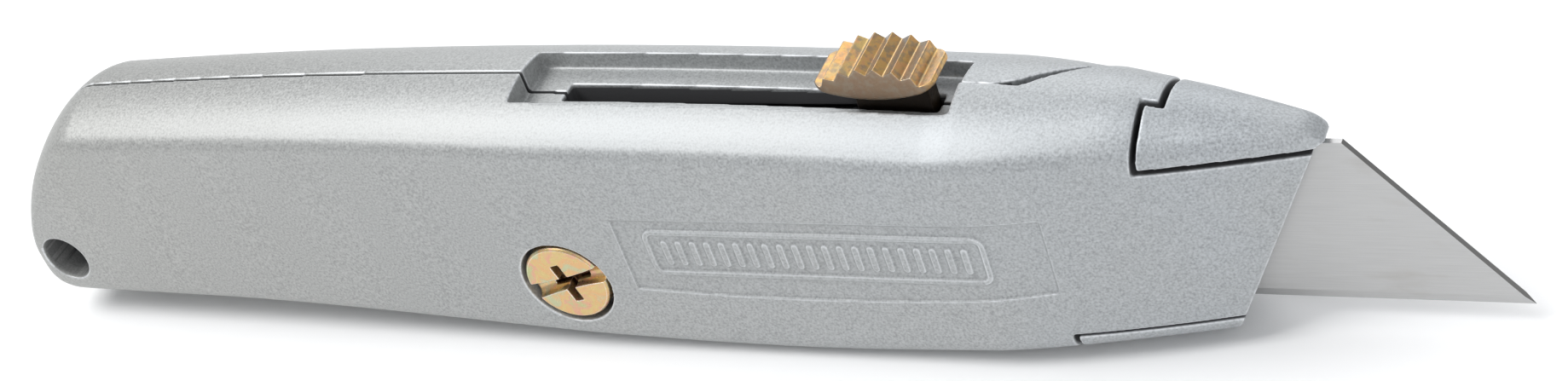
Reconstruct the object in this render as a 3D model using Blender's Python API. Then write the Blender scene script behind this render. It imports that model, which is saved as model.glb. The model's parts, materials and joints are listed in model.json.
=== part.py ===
"""Retractable utility knife: two die-cast casings around a sliding trapezoid blade.

Frame: X runs along the knife towards the blade's point, Z points up through the spine,
and Y is across it, with the blade lying in the plane Y = 0. The right casing is on the
-Y side and carries the screw head. The origin is below the middle of the knife, on the
level of the lowest point of its belly, with the blade fully out.

All dimensions are in millimetres and are scaled to metres when a mesh is made.
"""

import math

import bmesh
import bpy
from mathutils import Matrix

MM = 0.001

# Driving dimensions
OVERALL_LENGTH = 169.9
BODY_LENGTH = 154.1
BODY_WIDTH = 18.1
SPINE_HEIGHT = 29.95
WALL = 1.6
CLEARANCE = 0.3
PARTING_GAP = 0.3
HOOK_GAP = 0.6
BLADE_LENGTH = 62.0
BLADE_HEIGHT = 19.0
BLADE_THICKNESS = 0.65
BLADE_END_SLANT = 14.75

# Side view of the body
TAIL_X = -OVERALL_LENGTH / 2
NOSE_X = TAIL_X + BODY_LENGTH
SPINE_PEAK_X = -18.75
SPINE_RADIUS = 890.0
TAIL_CURVE_X = -69.75
TAIL_TIP_Z = 7.65
TAIL_CURVE_POWER = 1.5
TAIL_HEEL_RADIUS = 4.7
TAIL_BELLY_Z = 2.75
TAIL_BELLY_X = -60.75
BELLY_X = 13.25
FRONT_BELLY_Z = 1.4
FRONT_BELLY_X = 55.25
NOSE_STEP_X = 54.85
NOSE_TOP_Z = 26.75
NOSE_TOP_SLOPE = -0.225
NOSE_TIP_RADIUS = 2.25
NOSE_TIP_DROP = 1.6

# Cross sections of the body
CROWN_RADIUS = 13.0
NOSE_CROWN_RADIUS = 7.0
NOSE_CROWN_X = (38.0, 57.0)
SHOULDER_RADIUS = 2.5
KEEL_CROWN_RADIUS = 80.0
KEEL_RADIUS = 2.4
TAIL_HALF_WIDTH = 7.6
TAIL_TAPER_X = -10.75
TAIL_EDGE_RADIUS = 2.7
NOSE_TAPER_X = 35.25
NOSE_HALF_WIDTH = 1.6
NOSE_TAPER_POWER = 1.45
FILLET_SHARE = 0.6
SECTION_FILL = 0.9

# Stations that the body is skinned through
TAIL_STATIONS = 12
TAIL_STATION_START = 0.12
TAIL_STATION_REACH = 15.0
TAIL_STATION_POWER = 1.8
MIDDLE_STATIONS = 16
MIDDLE_STATION_X = -64.0
MIDDLE_STATION_SPACING = 6.0
TAPER_STATIONS = [31.0, 35.25, 39.0, 42.5, 46.0, 49.5, 52.5]
NOSE_STEP_LENGTH = 0.2
NOSE_STATIONS = [58.5, 61.0, 63.5, 65.5, 67.0, 68.0, 68.7, 69.05]

# Inside of the body
CAVITY_CEILING_Z = 24.6
CAVITY_TOP_CHAMFER = 1.0
CAVITY_KEEL = [(0.0, 2.2), (0.9, 0.7), (2.2, 0.0)]
CAVITY_STATIONS = [-75.0, -73.5, -70.0, -64.0, -50.0, -36.0, -22.0, -8.0, 6.0, 20.0, 34.0, 40.0, 46.0, 51.5]
CHANNEL_REAR_X = 50.0
CHANNEL_HALF_WIDTH = 0.65
CHANNEL_Z = (2.25, 22.0)

# Slider slot in the spine
SLOT_X = (-12.35, 35.3)
SLOT_HALF_WIDTH = 4.0
SLOT_DEPTH = 2.6
STEM_SLOT_X = (-8.0, 32.9)
STEM_SLOT_HALF_WIDTH = 1.3
STEM_SLOT_FLOOR_Z = 23.0
SLOT_FLOOR_STEPS = 8

# Joints between the two casings
COVER_PLAN = [(40.2, 0.15), (44.5, 2.8), (49.5, 6.5), (51.0, 14.0)]
COVER_OVERLAP_Y = -1.0
COVER_Z = 22.85
HOOK_SIDE_X = 52.7
HOOK_SIDE_Y = -1.2
HOOK_SIDE_LEAN = 0.1
HOOK_LINE = [(52.7, 22.6), (67.6, 21.8)]
LIP_X = 43.45
LIP_Z = 3.85
LIP_REAR_GAP = 0.5
FRONT_CUT = [
    (57.9, -3.0),
    (57.9, 1.2),
    (58.9, 3.1),
    (67.95, 21.55),
    (68.5, 22.35),
    (75.0, 22.35),
    (75.0, -3.0),
]

# Screw, lanyard hole and badge
SCREW_X = -10.75
SCREW_Z = 9.15
RECESS_RADIUS = 5.23
RECESS_FLOOR_Y = -6.2
CUP_RADIUS = 6.6
CUP_Y = (-8.3, -4.8)
POST_RADIUS = 4.5
POST_REACH_Y = 8.2
SCREW_BORE_RADIUS = 2.55
SCREW_BORE_END_Y = 6.6
SCREW_HEAD_RADIUS = 4.75
SCREW_HEAD_Y = (-9.0, -6.5)
SCREW_SHANK_RADIUS = 2.0
SCREW_SHANK_END_Y = 5.8
SCREW_SLOT_WIDTH = 1.3
SCREW_SLOT_LENGTH = 12.0
SCREW_CROSS_LENGTH = 5.6
SCREW_TURN = math.radians(-17.0)
SCREW_SLOT_DEPTH = 1.1
LANYARD_X = -79.55
LANYARD_Z = 8.85
LANYARD_RADIUS = 3.0
BADGE_OUTLINE = [(-2.35, 18.1), (-2.35, 8.9), (18.95, 8.6), (40.25, 10.2), (40.25, 18.9)]
BADGE_DEPTH = 0.4

# Blade and what carries it
BLADE_EDGE_Z = 2.6
BLADE_NOTCH_OFFSET = 6.25
BLADE_NOTCH_HALF_WIDTH = 1.6
BLADE_NOTCH_DEPTH = 2.9
BLADE_NOTCH_STEPS = 8
SPARE_COUNT = 3
SPARE_REAR_X = -71.5
SPARE_EDGE_Z = 24.2
SPARE_Y = 2.85
CARRIER_PLATE_X = (16.0, 51.0)
CARRIER_PLATE_Z = 14.2
CARRIER_PLATE_THICKNESS = 1.25
CARRIER_TOP_Z = (21.95, 23.4)
CARRIER_FLANGE_X = (15.0, 37.0)
CARRIER_FLANGE_Y = (-3.0, 2.5)
CARRIER_CAP_X = (40.0, 51.0)
CARRIER_CAP_Y = (-2.275, 1.9)
CARRIER_HOOK_HALF_WIDTH = 1.05
CARRIER_HOOK_Z = 19.2
CARRIER_HOOK_Y = 1.7
WINDOW_REAR_MARGIN = 2.1
WINDOW_FRONT_MARGIN = 0.5
WINDOW_SIDE_MARGIN = 0.4
SPRING_THICKNESS = 0.35
SPRING_HALF_WIDTH = 0.9
SPRING_PATH = [(16.2, 23.88), (22.9, 23.88), (23.9, 22.95), (25.4, 22.5), (28.4, 22.5), (31.6, 23.2)]

# Thumb button
PAD_CENTRE = (27.6, 21.95)
PAD_RIDGE_RADIUS = 10.3
PAD_GROOVE_DEPTH = 0.75
PAD_RIDGES = 8
PAD_RIDGE_PITCH = math.radians(10.4)
PAD_HALF_WIDTH = 2.95
PAD_UNDERSIDE_CENTRE = (28.0, 45.0)
PAD_UNDERSIDE_RADIUS = 16.4
PAD_UNDERSIDE_HALF_ANGLE = math.radians(21.0)
PAD_UNDERSIDE_STEPS = 8
STEM_X = (24.6, 32.4)
STEM_HALF_WIDTH = 1.0
STEM_Z = (23.75, 29.3)

# Where the moving pieces turn and slide
HINGE = (64.0, -0.2, 12.0)
SLIDE = (51.95, 0.0, 12.1)
PRESS = (28.5, 0.0, 26.5)

# Cutters run past the body to FAR, and those that stop above it, to ABOVE
FAR = 120.0
ABOVE = 40.0
OVERLAP = 0.5
ROUND_SEGMENTS = 32
FINE_SEGMENTS = 48
MERGE_DISTANCE = 0.001
PIVOT_SIZE = 0.01

# Finishes, each as colour, metallic and roughness
SILVER_PAINT = ((0.62, 0.64, 0.67), 0.6, 0.4)
YELLOW_ZINC = ((0.62, 0.42, 0.2), 1.0, 0.35)
BLADE_STEEL = ((0.6, 0.6, 0.6), 1.0, 0.3)
SPRING_STEEL = ((0.4, 0.4, 0.41), 1.0, 0.35)
PLAIN_CASTING = ((0.5, 0.5, 0.5), 1.0, 0.5)


# Small helpers ---------------------------------------------------------------------------

def clear_scene():
    """Empty the file, keeping the scene itself."""
    for thing in list(bpy.data.objects):
        bpy.data.objects.remove(thing, do_unlink=True)
    for group in list(bpy.data.collections):
        bpy.data.collections.remove(group)


def new_collection(name):
    """Add a collection to the scene."""
    group = bpy.data.collections.new(name)
    bpy.context.scene.collection.children.link(group)
    return group


def new_material(name, colour, metallic, roughness):
    """Make a plain Principled material."""
    material = bpy.data.materials.new(name)
    material.use_nodes = True
    shader = material.node_tree.nodes["Principled BSDF"]
    shader.inputs["Base Color"].default_value = (*colour, 1.0)
    shader.inputs["Metallic"].default_value = metallic
    shader.inputs["Roughness"].default_value = roughness
    material.diffuse_color = (*colour, 1.0)
    return material


def smoothstep(value):
    """Ease from 0 to 1 with level ends."""
    value = min(max(value, 0.0), 1.0)
    return value * value * (3.0 - 2.0 * value)


def arc(centre, radius, start, end, steps):
    """Points along an arc in a plane, from one angle to another."""
    angles = [start + (end - start) * i / steps for i in range(steps + 1)]
    return [(centre[0] + radius * math.cos(a), centre[1] + radius * math.sin(a)) for a in angles]


def add_mesh(name, bm, group):
    """Turn a bmesh in millimetres into an object in metres."""
    bmesh.ops.recalc_face_normals(bm, faces=bm.faces)
    bmesh.ops.scale(bm, vec=(MM, MM, MM), verts=bm.verts)
    mesh = bpy.data.meshes.new(name)
    bm.to_mesh(mesh)
    bm.free()
    item = bpy.data.objects.new(name, mesh)
    group.objects.link(item)
    return item


def prism(name, outline, axis, low, high, group):
    """Extrude a flat outline along Y or Z: (x, z) points for Y, (x, y) points for Z."""
    curve = bpy.data.curves.new(name, "CURVE")
    curve.dimensions = "2D"
    curve.fill_mode = "BOTH"
    curve.extrude = (high - low) / 2
    spline = curve.splines.new("POLY")
    spline.points.add(len(outline) - 1)
    for point, (across, up) in zip(spline.points, outline):
        point.co = (across, up, 0.0, 1.0)
    spline.use_cyclic_u = True
    guide = bpy.data.objects.new(name, curve)
    bpy.context.scene.collection.objects.link(guide)
    bpy.context.view_layer.update()
    solid = bpy.data.meshes.new_from_object(guide.evaluated_get(bpy.context.evaluated_depsgraph_get()))
    bm = bmesh.new()
    bm.from_mesh(solid)
    bpy.data.objects.remove(guide)
    bpy.data.curves.remove(curve)
    bpy.data.meshes.remove(solid)
    bmesh.ops.remove_doubles(bm, verts=bm.verts, dist=MERGE_DISTANCE)
    middle = (low + high) / 2
    place = Matrix.Translation((0.0, 0.0, middle))
    if axis == "Y":
        place = Matrix.Translation((0.0, middle, 0.0)) @ Matrix.Rotation(math.pi / 2, 4, "X")
    bm.transform(place)
    return add_mesh(name, bm, group)


def box(name, x, y, z, group):
    """Box between two corners, given as (low, high) along each axis."""
    bm = bmesh.new()
    bmesh.ops.create_cube(bm, size=1.0)
    for vert in bm.verts:
        vert.co = [low + (high - low) * (side + 0.5) for (low, high), side in zip((x, y, z), vert.co)]
    return add_mesh(name, bm, group)


def cylinder(name, radius, centre, y, segments, group):
    """Round bar or bore along Y, centred at (x, z), between two values of Y."""
    bm = bmesh.new()
    place = Matrix.Translation((centre[0], sum(y) / 2, centre[1])) @ Matrix.Rotation(math.pi / 2, 4, "X")
    bmesh.ops.create_cone(
        bm, cap_ends=True, segments=segments, radius1=radius, radius2=radius, depth=y[1] - y[0], matrix=place
    )
    return add_mesh(name, bm, group)


def combine(target, other, operation):
    """Add an exact Boolean to an object."""
    modifier = target.modifiers.new(other.name, "BOOLEAN")
    modifier.operation = operation
    modifier.solver = "EXACT"
    modifier.object = other


def pivot(name, place, group):
    """Empty on the axis of a joint."""
    empty = bpy.data.objects.new(name, None)
    empty.location = [value * MM for value in place]
    empty.empty_display_size = PIVOT_SIZE
    group.objects.link(empty)
    return empty


def hang(item, parent):
    """Parent an object and leave it where it is."""
    bpy.context.view_layer.update()
    item.parent = parent
    item.matrix_parent_inverse = parent.matrix_world.inverted()


def shade_round(item, degrees=30.0):
    """Shade an object smooth, keeping edges sharper than an angle."""
    item.data.shade_smooth()
    item.data.set_sharp_from_angle(angle=math.radians(degrees))


# Shape of the body -----------------------------------------------------------------------

def spine_arc(x):
    """Height of the spine's long shallow arc."""
    return SPINE_HEIGHT - (x - SPINE_PEAK_X) ** 2 / (2 * SPINE_RADIUS)


def spine(x):
    """Height of the body's top along the middle."""
    if x < TAIL_CURVE_X:
        reach = min((TAIL_CURVE_X - x) / (TAIL_CURVE_X - TAIL_X), 1.0)
        rise = (1.0 - reach ** TAIL_CURVE_POWER) ** (1.0 / TAIL_CURVE_POWER)
        return TAIL_TIP_Z + (spine_arc(TAIL_CURVE_X) - TAIL_TIP_Z) * rise
    if x < NOSE_STEP_X:
        return spine_arc(x)
    line = NOSE_TOP_Z + NOSE_TOP_SLOPE * (x - NOSE_STEP_X)
    past = max(x - (NOSE_X - NOSE_TIP_RADIUS), 0.0) / NOSE_TIP_RADIUS
    return line - NOSE_TIP_DROP * (1.0 - math.sqrt(max(1.0 - past * past, 0.0)))


def belly(x):
    """Height of the body's underside along the middle."""
    if x < BELLY_X:
        height = TAIL_BELLY_Z * (1.0 - smoothstep((x - TAIL_BELLY_X) / (BELLY_X - TAIL_BELLY_X)))
    else:
        height = FRONT_BELLY_Z * smoothstep((x - BELLY_X) / (FRONT_BELLY_X - BELLY_X))
    past = max(TAIL_X + TAIL_HEEL_RADIUS - x, 0.0) / TAIL_HEEL_RADIUS
    heel = (TAIL_TIP_Z - TAIL_BELLY_Z) * (1.0 - math.sqrt(max(1.0 - past * past, 0.0)))
    return height + heel


def half_width(x):
    """Half of the body's width: it narrows a little to the tail and strongly to the nose."""
    full = BODY_WIDTH / 2
    if x > NOSE_TAPER_X:
        reach = (x - NOSE_TAPER_X) / (NOSE_X - NOSE_TAPER_X)
        return full - (full - NOSE_HALF_WIDTH) * reach ** NOSE_TAPER_POWER
    taper = min(max((TAIL_TAPER_X - x) / (TAIL_TAPER_X - TAIL_X), 0.0), 1.0)
    width = full - (full - TAIL_HALF_WIDTH) * taper
    past = max(TAIL_X + TAIL_EDGE_RADIUS - x, 0.0) / TAIL_EDGE_RADIUS
    return width - TAIL_EDGE_RADIUS * (1.0 - math.sqrt(max(1.0 - past * past, 0.0)))


def crowned_corner(width, crown, fillet, steps=4):
    """Half profile of one crowned face and its rounded corner, as (y, drop from the crown)."""
    fillet = min(fillet, FILLET_SHARE * width)
    reach = width - fillet
    turn = math.asin(reach / (crown - fillet))
    points = []
    for i in range(steps + 1):
        angle = turn * i / steps
        points.append((crown * math.sin(angle), crown * (1.0 - math.cos(angle))))
    centre = crown - (crown - fillet) * math.cos(turn)
    for i in range(1, steps + 1):
        angle = turn + (math.pi / 2 - turn) * i / steps
        points.append((reach + fillet * math.sin(angle), centre - fillet * math.cos(angle)))
    return points


def section(x):
    """Closed ring of (y, z) points around the body at one station."""
    width, top, bottom = half_width(x), spine(x), belly(x)
    sharpening = smoothstep((x - NOSE_CROWN_X[0]) / (NOSE_CROWN_X[1] - NOSE_CROWN_X[0]))
    crown = CROWN_RADIUS + (NOSE_CROWN_RADIUS - CROWN_RADIUS) * sharpening
    upper = crowned_corner(width, crown, SHOULDER_RADIUS)
    lower = crowned_corner(width, KEEL_CROWN_RADIUS, KEEL_RADIUS)
    drop = upper[-1][1] + lower[-1][1]
    squash = min(1.0, SECTION_FILL * (top - bottom) / drop)
    right = [(y, top - squash * fall) for y, fall in upper]
    right += [(y, bottom + squash * fall) for y, fall in reversed(lower)]
    left = [(-y, z) for y, z in reversed(right[1:-1])]
    return right + left


def loft(name, stations, group):
    """Skin a closed body through rings of (y, z) points at given x."""
    bm = bmesh.new()
    rings = [[bm.verts.new((x, y, z)) for y, z in ring] for x, ring in stations]
    count = len(rings[0])
    for rear, front in zip(rings, rings[1:]):
        for i in range(count):
            j = (i + 1) % count
            bm.faces.new((rear[i], rear[j], front[j], front[i]))
    bm.faces.new(reversed(rings[0]))
    bm.faces.new(rings[-1])
    return add_mesh(name, bm, group)


def outer_stations():
    """Stations along the body, close together where its outline turns."""
    shares = [i / (TAIL_STATIONS - 1) for i in range(TAIL_STATIONS)]
    start = TAIL_X + TAIL_STATION_START
    tail = [start + TAIL_STATION_REACH * share ** TAIL_STATION_POWER for share in shares]
    middle = [MIDDLE_STATION_X + MIDDLE_STATION_SPACING * i for i in range(MIDDLE_STATIONS)]
    step = [NOSE_STEP_X - NOSE_STEP_LENGTH / 2, NOSE_STEP_X + NOSE_STEP_LENGTH / 2]
    return tail + middle + TAPER_STATIONS + step + NOSE_STATIONS


def envelope(name, group):
    """Outer skin of both casings together, as one solid."""
    return loft(name, [(x, section(x)) for x in outer_stations()], group)


def cavity_ring(width, top, bottom):
    """Closed ring of (y, z) points around the hollow: flat on top, rounded below."""
    half = [(width - CAVITY_TOP_CHAMFER, top), (width, top - CAVITY_TOP_CHAMFER)]
    half += [(width - inset, bottom + rise) for inset, rise in CAVITY_KEEL]
    return half + [(-y, z) for y, z in reversed(half)]


def cavity(group):
    """Hollow inside the two casings."""
    stations = []
    for x in CAVITY_STATIONS:
        top = min(spine(x) - WALL, CAVITY_CEILING_Z)
        bottom = belly(x) + WALL
        if x > SCREW_X:
            bottom = min(bottom, CHANNEL_Z[0])
        stations.append((x, cavity_ring(half_width(x) - WALL, top, bottom)))
    return loft("cavity_cutter", stations, group)


# Cutters and regions ---------------------------------------------------------------------

def hook_prism(name, gap, group):
    """Region of the nose hook, grown on its lower and rear faces by a gap."""
    (rear, rear_z), (front, front_z) = HOOK_LINE
    slope = (front_z - rear_z) / (front - rear)

    def side_view(start, lean):
        levels = [(x, rear_z - gap + slope * (x - rear)) for x in (start, FAR)]
        return levels + [(FAR, ABOVE), (start + lean * (ABOVE - rear_z), ABOVE)]

    hook = prism(name, side_view(HOOK_SIDE_X - gap, HOOK_SIDE_LEAN), "Y", -FAR, HOOK_SIDE_Y + gap, group)
    bridge = prism(name + "_top", side_view(NOSE_STEP_X - gap, 0.0), "Y", -FAR - OVERLAP, FAR, group)
    combine(hook, bridge, "UNION")
    return hook


def right_region(name, grow, group):
    """Space that belongs to the right casing; grow is +1 to cut the left one, -1 for its own."""
    seam = grow * PARTING_GAP / 2
    half = box(name, (-FAR, FAR), (-FAR, seam), (-FAR, FAR), group)
    front = NOSE_STEP_X + grow * HOOK_GAP / 2
    plan = [(x - seam, y) for x, y in COVER_PLAN]
    plan += [(front, plan[-1][1]), (front, COVER_OVERLAP_Y), (plan[0][0], COVER_OVERLAP_Y)]
    cover = prism(name + "_cover", plan, "Z", COVER_Z - seam, ABOVE, group)
    hook = hook_prism(name + "_hook", -grow * HOOK_GAP / 2, group)
    lip_reach = FAR + OVERLAP
    lip_rear = LIP_X + grow * LIP_REAR_GAP / 2
    lip = box(name + "_lip", (lip_rear, lip_reach), (-lip_reach, FAR), (-lip_reach, LIP_Z - seam), group)
    combine(half, cover, "UNION")
    combine(half, hook, "DIFFERENCE")
    combine(half, lip, "DIFFERENCE")
    return half


def slot_outline():
    """Side view of the slider slot: its floor follows the spine."""
    floor = []
    for i in range(SLOT_FLOOR_STEPS + 1):
        x = SLOT_X[0] + (SLOT_X[1] - SLOT_X[0]) * i / SLOT_FLOOR_STEPS
        floor.append((x, spine_arc(x) - SLOT_DEPTH))
    return floor + [(SLOT_X[1], ABOVE), (SLOT_X[0], ABOVE)]


def body_cutters(group):
    """Everything taken out of both casings, in order."""
    channel_y = (-CHANNEL_HALF_WIDTH, CHANNEL_HALF_WIDTH)
    stem_y = (-STEM_SLOT_HALF_WIDTH, STEM_SLOT_HALF_WIDTH)
    bore_y = (-FAR, SCREW_BORE_END_Y)
    lanyard = (LANYARD_X, LANYARD_Z)
    return [
        box("channel_cutter", (CHANNEL_REAR_X, FAR), channel_y, CHANNEL_Z, group),
        prism("slot_cutter", slot_outline(), "Y", -SLOT_HALF_WIDTH, SLOT_HALF_WIDTH, group),
        box("stem_slot_cutter", STEM_SLOT_X, stem_y, (STEM_SLOT_FLOOR_Z, ABOVE), group),
        prism("front_cutter", FRONT_CUT, "Y", -FAR, FAR, group),
        cylinder("lanyard_cutter", LANYARD_RADIUS, lanyard, (-FAR, FAR), ROUND_SEGMENTS, group),
        cylinder("screw_bore_cutter", SCREW_BORE_RADIUS, (SCREW_X, SCREW_Z), bore_y, ROUND_SEGMENTS, group),
    ]


# Parts -----------------------------------------------------------------------------------

def make_casing(name, region, operation, cutters, helpers, parts):
    """One casing: the outer skin, hollowed, with a screw post, kept on its side of the seam."""
    casing = envelope(name, parts)
    combine(casing, helpers["cavity"], "DIFFERENCE")
    combine(casing, helpers["post"], "UNION")
    if operation == "INTERSECT":
        combine(casing, helpers["cup"], "UNION")
        combine(casing, helpers["recess"], "DIFFERENCE")
        combine(casing, helpers["badge"], "DIFFERENCE")
    for cutter in cutters:
        combine(casing, cutter, "DIFFERENCE")
    combine(casing, region, operation)
    shade_round(casing)
    return casing


def make_casings(parts, cutters):
    """Both halves of the handle."""
    screw = (SCREW_X, SCREW_Z)
    recess_y = (-FAR, RECESS_FLOOR_Y)
    helpers = {
        "cavity": cavity(cutters),
        "post": cylinder("post", POST_RADIUS, screw, (-POST_REACH_Y, POST_REACH_Y), ROUND_SEGMENTS, cutters),
        "cup": cylinder("cup", CUP_RADIUS, screw, CUP_Y, FINE_SEGMENTS, cutters),
        "recess": cylinder("recess_cutter", RECESS_RADIUS, screw, recess_y, FINE_SEGMENTS, cutters),
        "badge": prism("badge_cutter", BADGE_OUTLINE, "Y", -FAR, -BODY_WIDTH / 2 + BADGE_DEPTH, cutters),
    }
    shared = body_cutters(cutters)
    keep = right_region("right_keep", -1, cutters)
    cut = right_region("left_cut", 1, cutters)
    right = make_casing("right_casing", keep, "INTERSECT", shared, helpers, parts)
    left = make_casing("left_casing", cut, "DIFFERENCE", shared, helpers, parts)
    return right, left


def make_screw(parts, cutters):
    """Casing screw: a flat head with a slot and a cross, on a plain shank."""
    centre = (SCREW_X, SCREW_Z)
    screw = cylinder("casing_screw", SCREW_HEAD_RADIUS, centre, SCREW_HEAD_Y, FINE_SEGMENTS, parts)
    shank_y = (SCREW_HEAD_Y[1] - OVERLAP, SCREW_SHANK_END_Y)
    shank = cylinder("screw_shank", SCREW_SHANK_RADIUS, centre, shank_y, ROUND_SEGMENTS, cutters)
    combine(screw, shank, "UNION")
    depth = (-FAR, SCREW_HEAD_Y[0] + SCREW_SLOT_DEPTH)
    width = (-SCREW_SLOT_WIDTH / 2, SCREW_SLOT_WIDTH / 2)
    for name, length, angle in (
        ("screw_slot", SCREW_SLOT_LENGTH, SCREW_TURN),
        ("screw_cross", SCREW_CROSS_LENGTH, SCREW_TURN + math.pi / 2),
    ):
        slot = box(name, (-length / 2, length / 2), depth, width, cutters)
        slot.location = (SCREW_X * MM, 0.0, SCREW_Z * MM)
        slot.rotation_euler = (0.0, angle, 0.0)
        combine(screw, slot, "DIFFERENCE")
    shade_round(screw)
    return screw


def blade_outline():
    """Trapezoid blade, long edge down, with two notches in its short edge."""
    low = -BLADE_LENGTH / 2
    top = BLADE_HEIGHT
    outline = [(low, 0.0), (-low, 0.0), (-low - BLADE_END_SLANT, top)]
    for side in (1, -1):
        centre = side * BLADE_NOTCH_OFFSET
        radius = BLADE_NOTCH_HALF_WIDTH
        base = top - BLADE_NOTCH_DEPTH + radius
        outline.append((centre + radius, top))
        outline += arc((centre, base), radius, 0.0, -math.pi, BLADE_NOTCH_STEPS)
        outline.append((centre - radius, top))
    outline.append((low + BLADE_END_SLANT, top))
    return outline


def make_blade(name, centre_x, edge_z, flip, low_y, parts):
    """One blade, cutting edge down, or up when flipped for storage."""
    side = -1.0 if flip else 1.0
    outline = [(centre_x + x, edge_z + side * z) for x, z in blade_outline()]
    return prism(name, outline, "Y", low_y, low_y + BLADE_THICKNESS, parts)


def make_carrier(parts, cutters):
    """Carrier: side plate, top flange with a window for the button, and a hook in the blade's notch."""
    near = -BLADE_THICKNESS / 2 - CLEARANCE
    plate_y = (near - CARRIER_PLATE_THICKNESS, near)
    carrier = box("blade_carrier", CARRIER_PLATE_X, plate_y, (CARRIER_PLATE_Z, CARRIER_TOP_Z[1]), parts)
    notch_x = OVERALL_LENGTH / 2 - BLADE_LENGTH / 2 - BLADE_NOTCH_OFFSET
    hook_x = (notch_x - CARRIER_HOOK_HALF_WIDTH, notch_x + CARRIER_HOOK_HALF_WIDTH)
    hook_z = (CARRIER_HOOK_Z, CARRIER_TOP_Z[0] + OVERLAP)
    added = [
        box("carrier_flange", CARRIER_FLANGE_X, CARRIER_FLANGE_Y, CARRIER_TOP_Z, cutters),
        box("carrier_cap", CARRIER_CAP_X, CARRIER_CAP_Y, CARRIER_TOP_Z, cutters),
        box("carrier_hook", hook_x, (near - OVERLAP, CARRIER_HOOK_Y), hook_z, cutters),
    ]
    for piece in added:
        combine(carrier, piece, "UNION")
    window_x = (STEM_X[0] - WINDOW_REAR_MARGIN, STEM_X[1] + WINDOW_FRONT_MARGIN)
    window_y = STEM_HALF_WIDTH + WINDOW_SIDE_MARGIN
    window = box("carrier_window", window_x, (-window_y, window_y), (CARRIER_HOOK_Z, ABOVE), cutters)
    combine(carrier, window, "DIFFERENCE")
    return carrier


def make_spring(parts):
    """Leaf spring: a bent strip on the carrier that holds the button up."""
    half = SPRING_THICKNESS / 2
    lower = [(x, z - half) for x, z in SPRING_PATH]
    upper = [(x, z + half) for x, z in reversed(SPRING_PATH)]
    return prism("leaf_spring", lower + upper, "Y", -SPRING_HALF_WIDTH, SPRING_HALF_WIDTH, parts)


def pad_outline():
    """Side view of the thumb pad: ridges along an arc over a hollowed underside."""
    points = []
    first = math.pi / 2 + PAD_RIDGE_PITCH * (PAD_RIDGES - 1) / 2
    for i in range(2 * PAD_RIDGES - 1):
        angle = first - PAD_RIDGE_PITCH * i / 2
        radius = PAD_RIDGE_RADIUS - (PAD_GROOVE_DEPTH if i % 2 else 0.0)
        points.append((PAD_CENTRE[0] + radius * math.cos(angle), PAD_CENTRE[1] + radius * math.sin(angle)))
    start = PAD_UNDERSIDE_HALF_ANGLE - math.pi / 2
    end = -PAD_UNDERSIDE_HALF_ANGLE - math.pi / 2
    return points + arc(PAD_UNDERSIDE_CENTRE, PAD_UNDERSIDE_RADIUS, start, end, PAD_UNDERSIDE_STEPS)


def make_button(parts, cutters):
    """Thumb button: ridged pad on a stem that passes the slot."""
    button = prism("thumb_button", pad_outline(), "Y", -PAD_HALF_WIDTH, PAD_HALF_WIDTH, parts)
    stem = box("button_stem", STEM_X, (-STEM_HALF_WIDTH, STEM_HALF_WIDTH), STEM_Z, cutters)
    combine(button, stem, "UNION")
    return button


def add_pivots(pieces, group):
    """Empties on the joints' axes, and the pieces that move with them hung below."""
    hinge = pivot("cover_hinge", HINGE, group)
    screw_axis = pivot("screw_axis", (SCREW_X, SCREW_HEAD_Y[0], SCREW_Z), group)
    slide = pivot("blade_slide", SLIDE, group)
    press = pivot("button_press", PRESS, group)
    hang(screw_axis, hinge)
    hang(press, slide)
    hang(pieces["right_casing"], hinge)
    hang(pieces["casing_screw"], screw_axis)
    hang(pieces["thumb_button"], press)
    for name in ("blade_carrier", "leaf_spring", "blade"):
        hang(pieces[name], slide)


def main():
    """Build the knife."""
    clear_scene()
    parts = new_collection("utility_knife")
    cutters = new_collection("cutters")
    paint = new_material("silver_paint", *SILVER_PAINT)
    zinc = new_material("yellow_zinc", *YELLOW_ZINC)
    blade_steel = new_material("blade_steel", *BLADE_STEEL)
    spring_steel = new_material("spring_steel", *SPRING_STEEL)
    casting = new_material("plain_casting", *PLAIN_CASTING)

    right, left = make_casings(parts, cutters)
    finishes = [(right, paint), (left, paint)]
    finishes.append((make_screw(parts, cutters), zinc))
    finishes.append((make_button(parts, cutters), zinc))
    finishes.append((make_carrier(parts, cutters), casting))
    finishes.append((make_spring(parts), spring_steel))
    blade_x = OVERALL_LENGTH / 2 - BLADE_LENGTH / 2
    blade = make_blade("blade", blade_x, BLADE_EDGE_Z, False, -BLADE_THICKNESS / 2, parts)
    finishes.append((blade, blade_steel))
    for number in range(SPARE_COUNT):
        low_y = SPARE_Y + number * (BLADE_THICKNESS + CLEARANCE)
        name = f"spare_blade_{number + 1}"
        spare = make_blade(name, SPARE_REAR_X + BLADE_LENGTH / 2, SPARE_EDGE_Z, True, low_y, parts)
        finishes.append((spare, blade_steel))
    for item, finish in finishes:
        item.data.materials.clear()
        item.data.materials.append(finish)
    add_pivots({item.name: item for item, finish in finishes}, parts)
    for helper in cutters.objects:
        helper.hide_render = True
        helper.display_type = "WIRE"


if __name__ == "__main__":
    main()
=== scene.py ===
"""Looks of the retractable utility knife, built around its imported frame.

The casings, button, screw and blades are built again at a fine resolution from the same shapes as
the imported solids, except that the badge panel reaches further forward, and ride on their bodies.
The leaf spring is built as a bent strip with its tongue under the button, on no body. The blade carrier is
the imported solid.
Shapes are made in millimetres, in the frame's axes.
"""

import json
import math

import bmesh
import bpy
import numpy as np
from mathutils import Matrix, Vector
from mathutils.bvhtree import BVHTree

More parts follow.
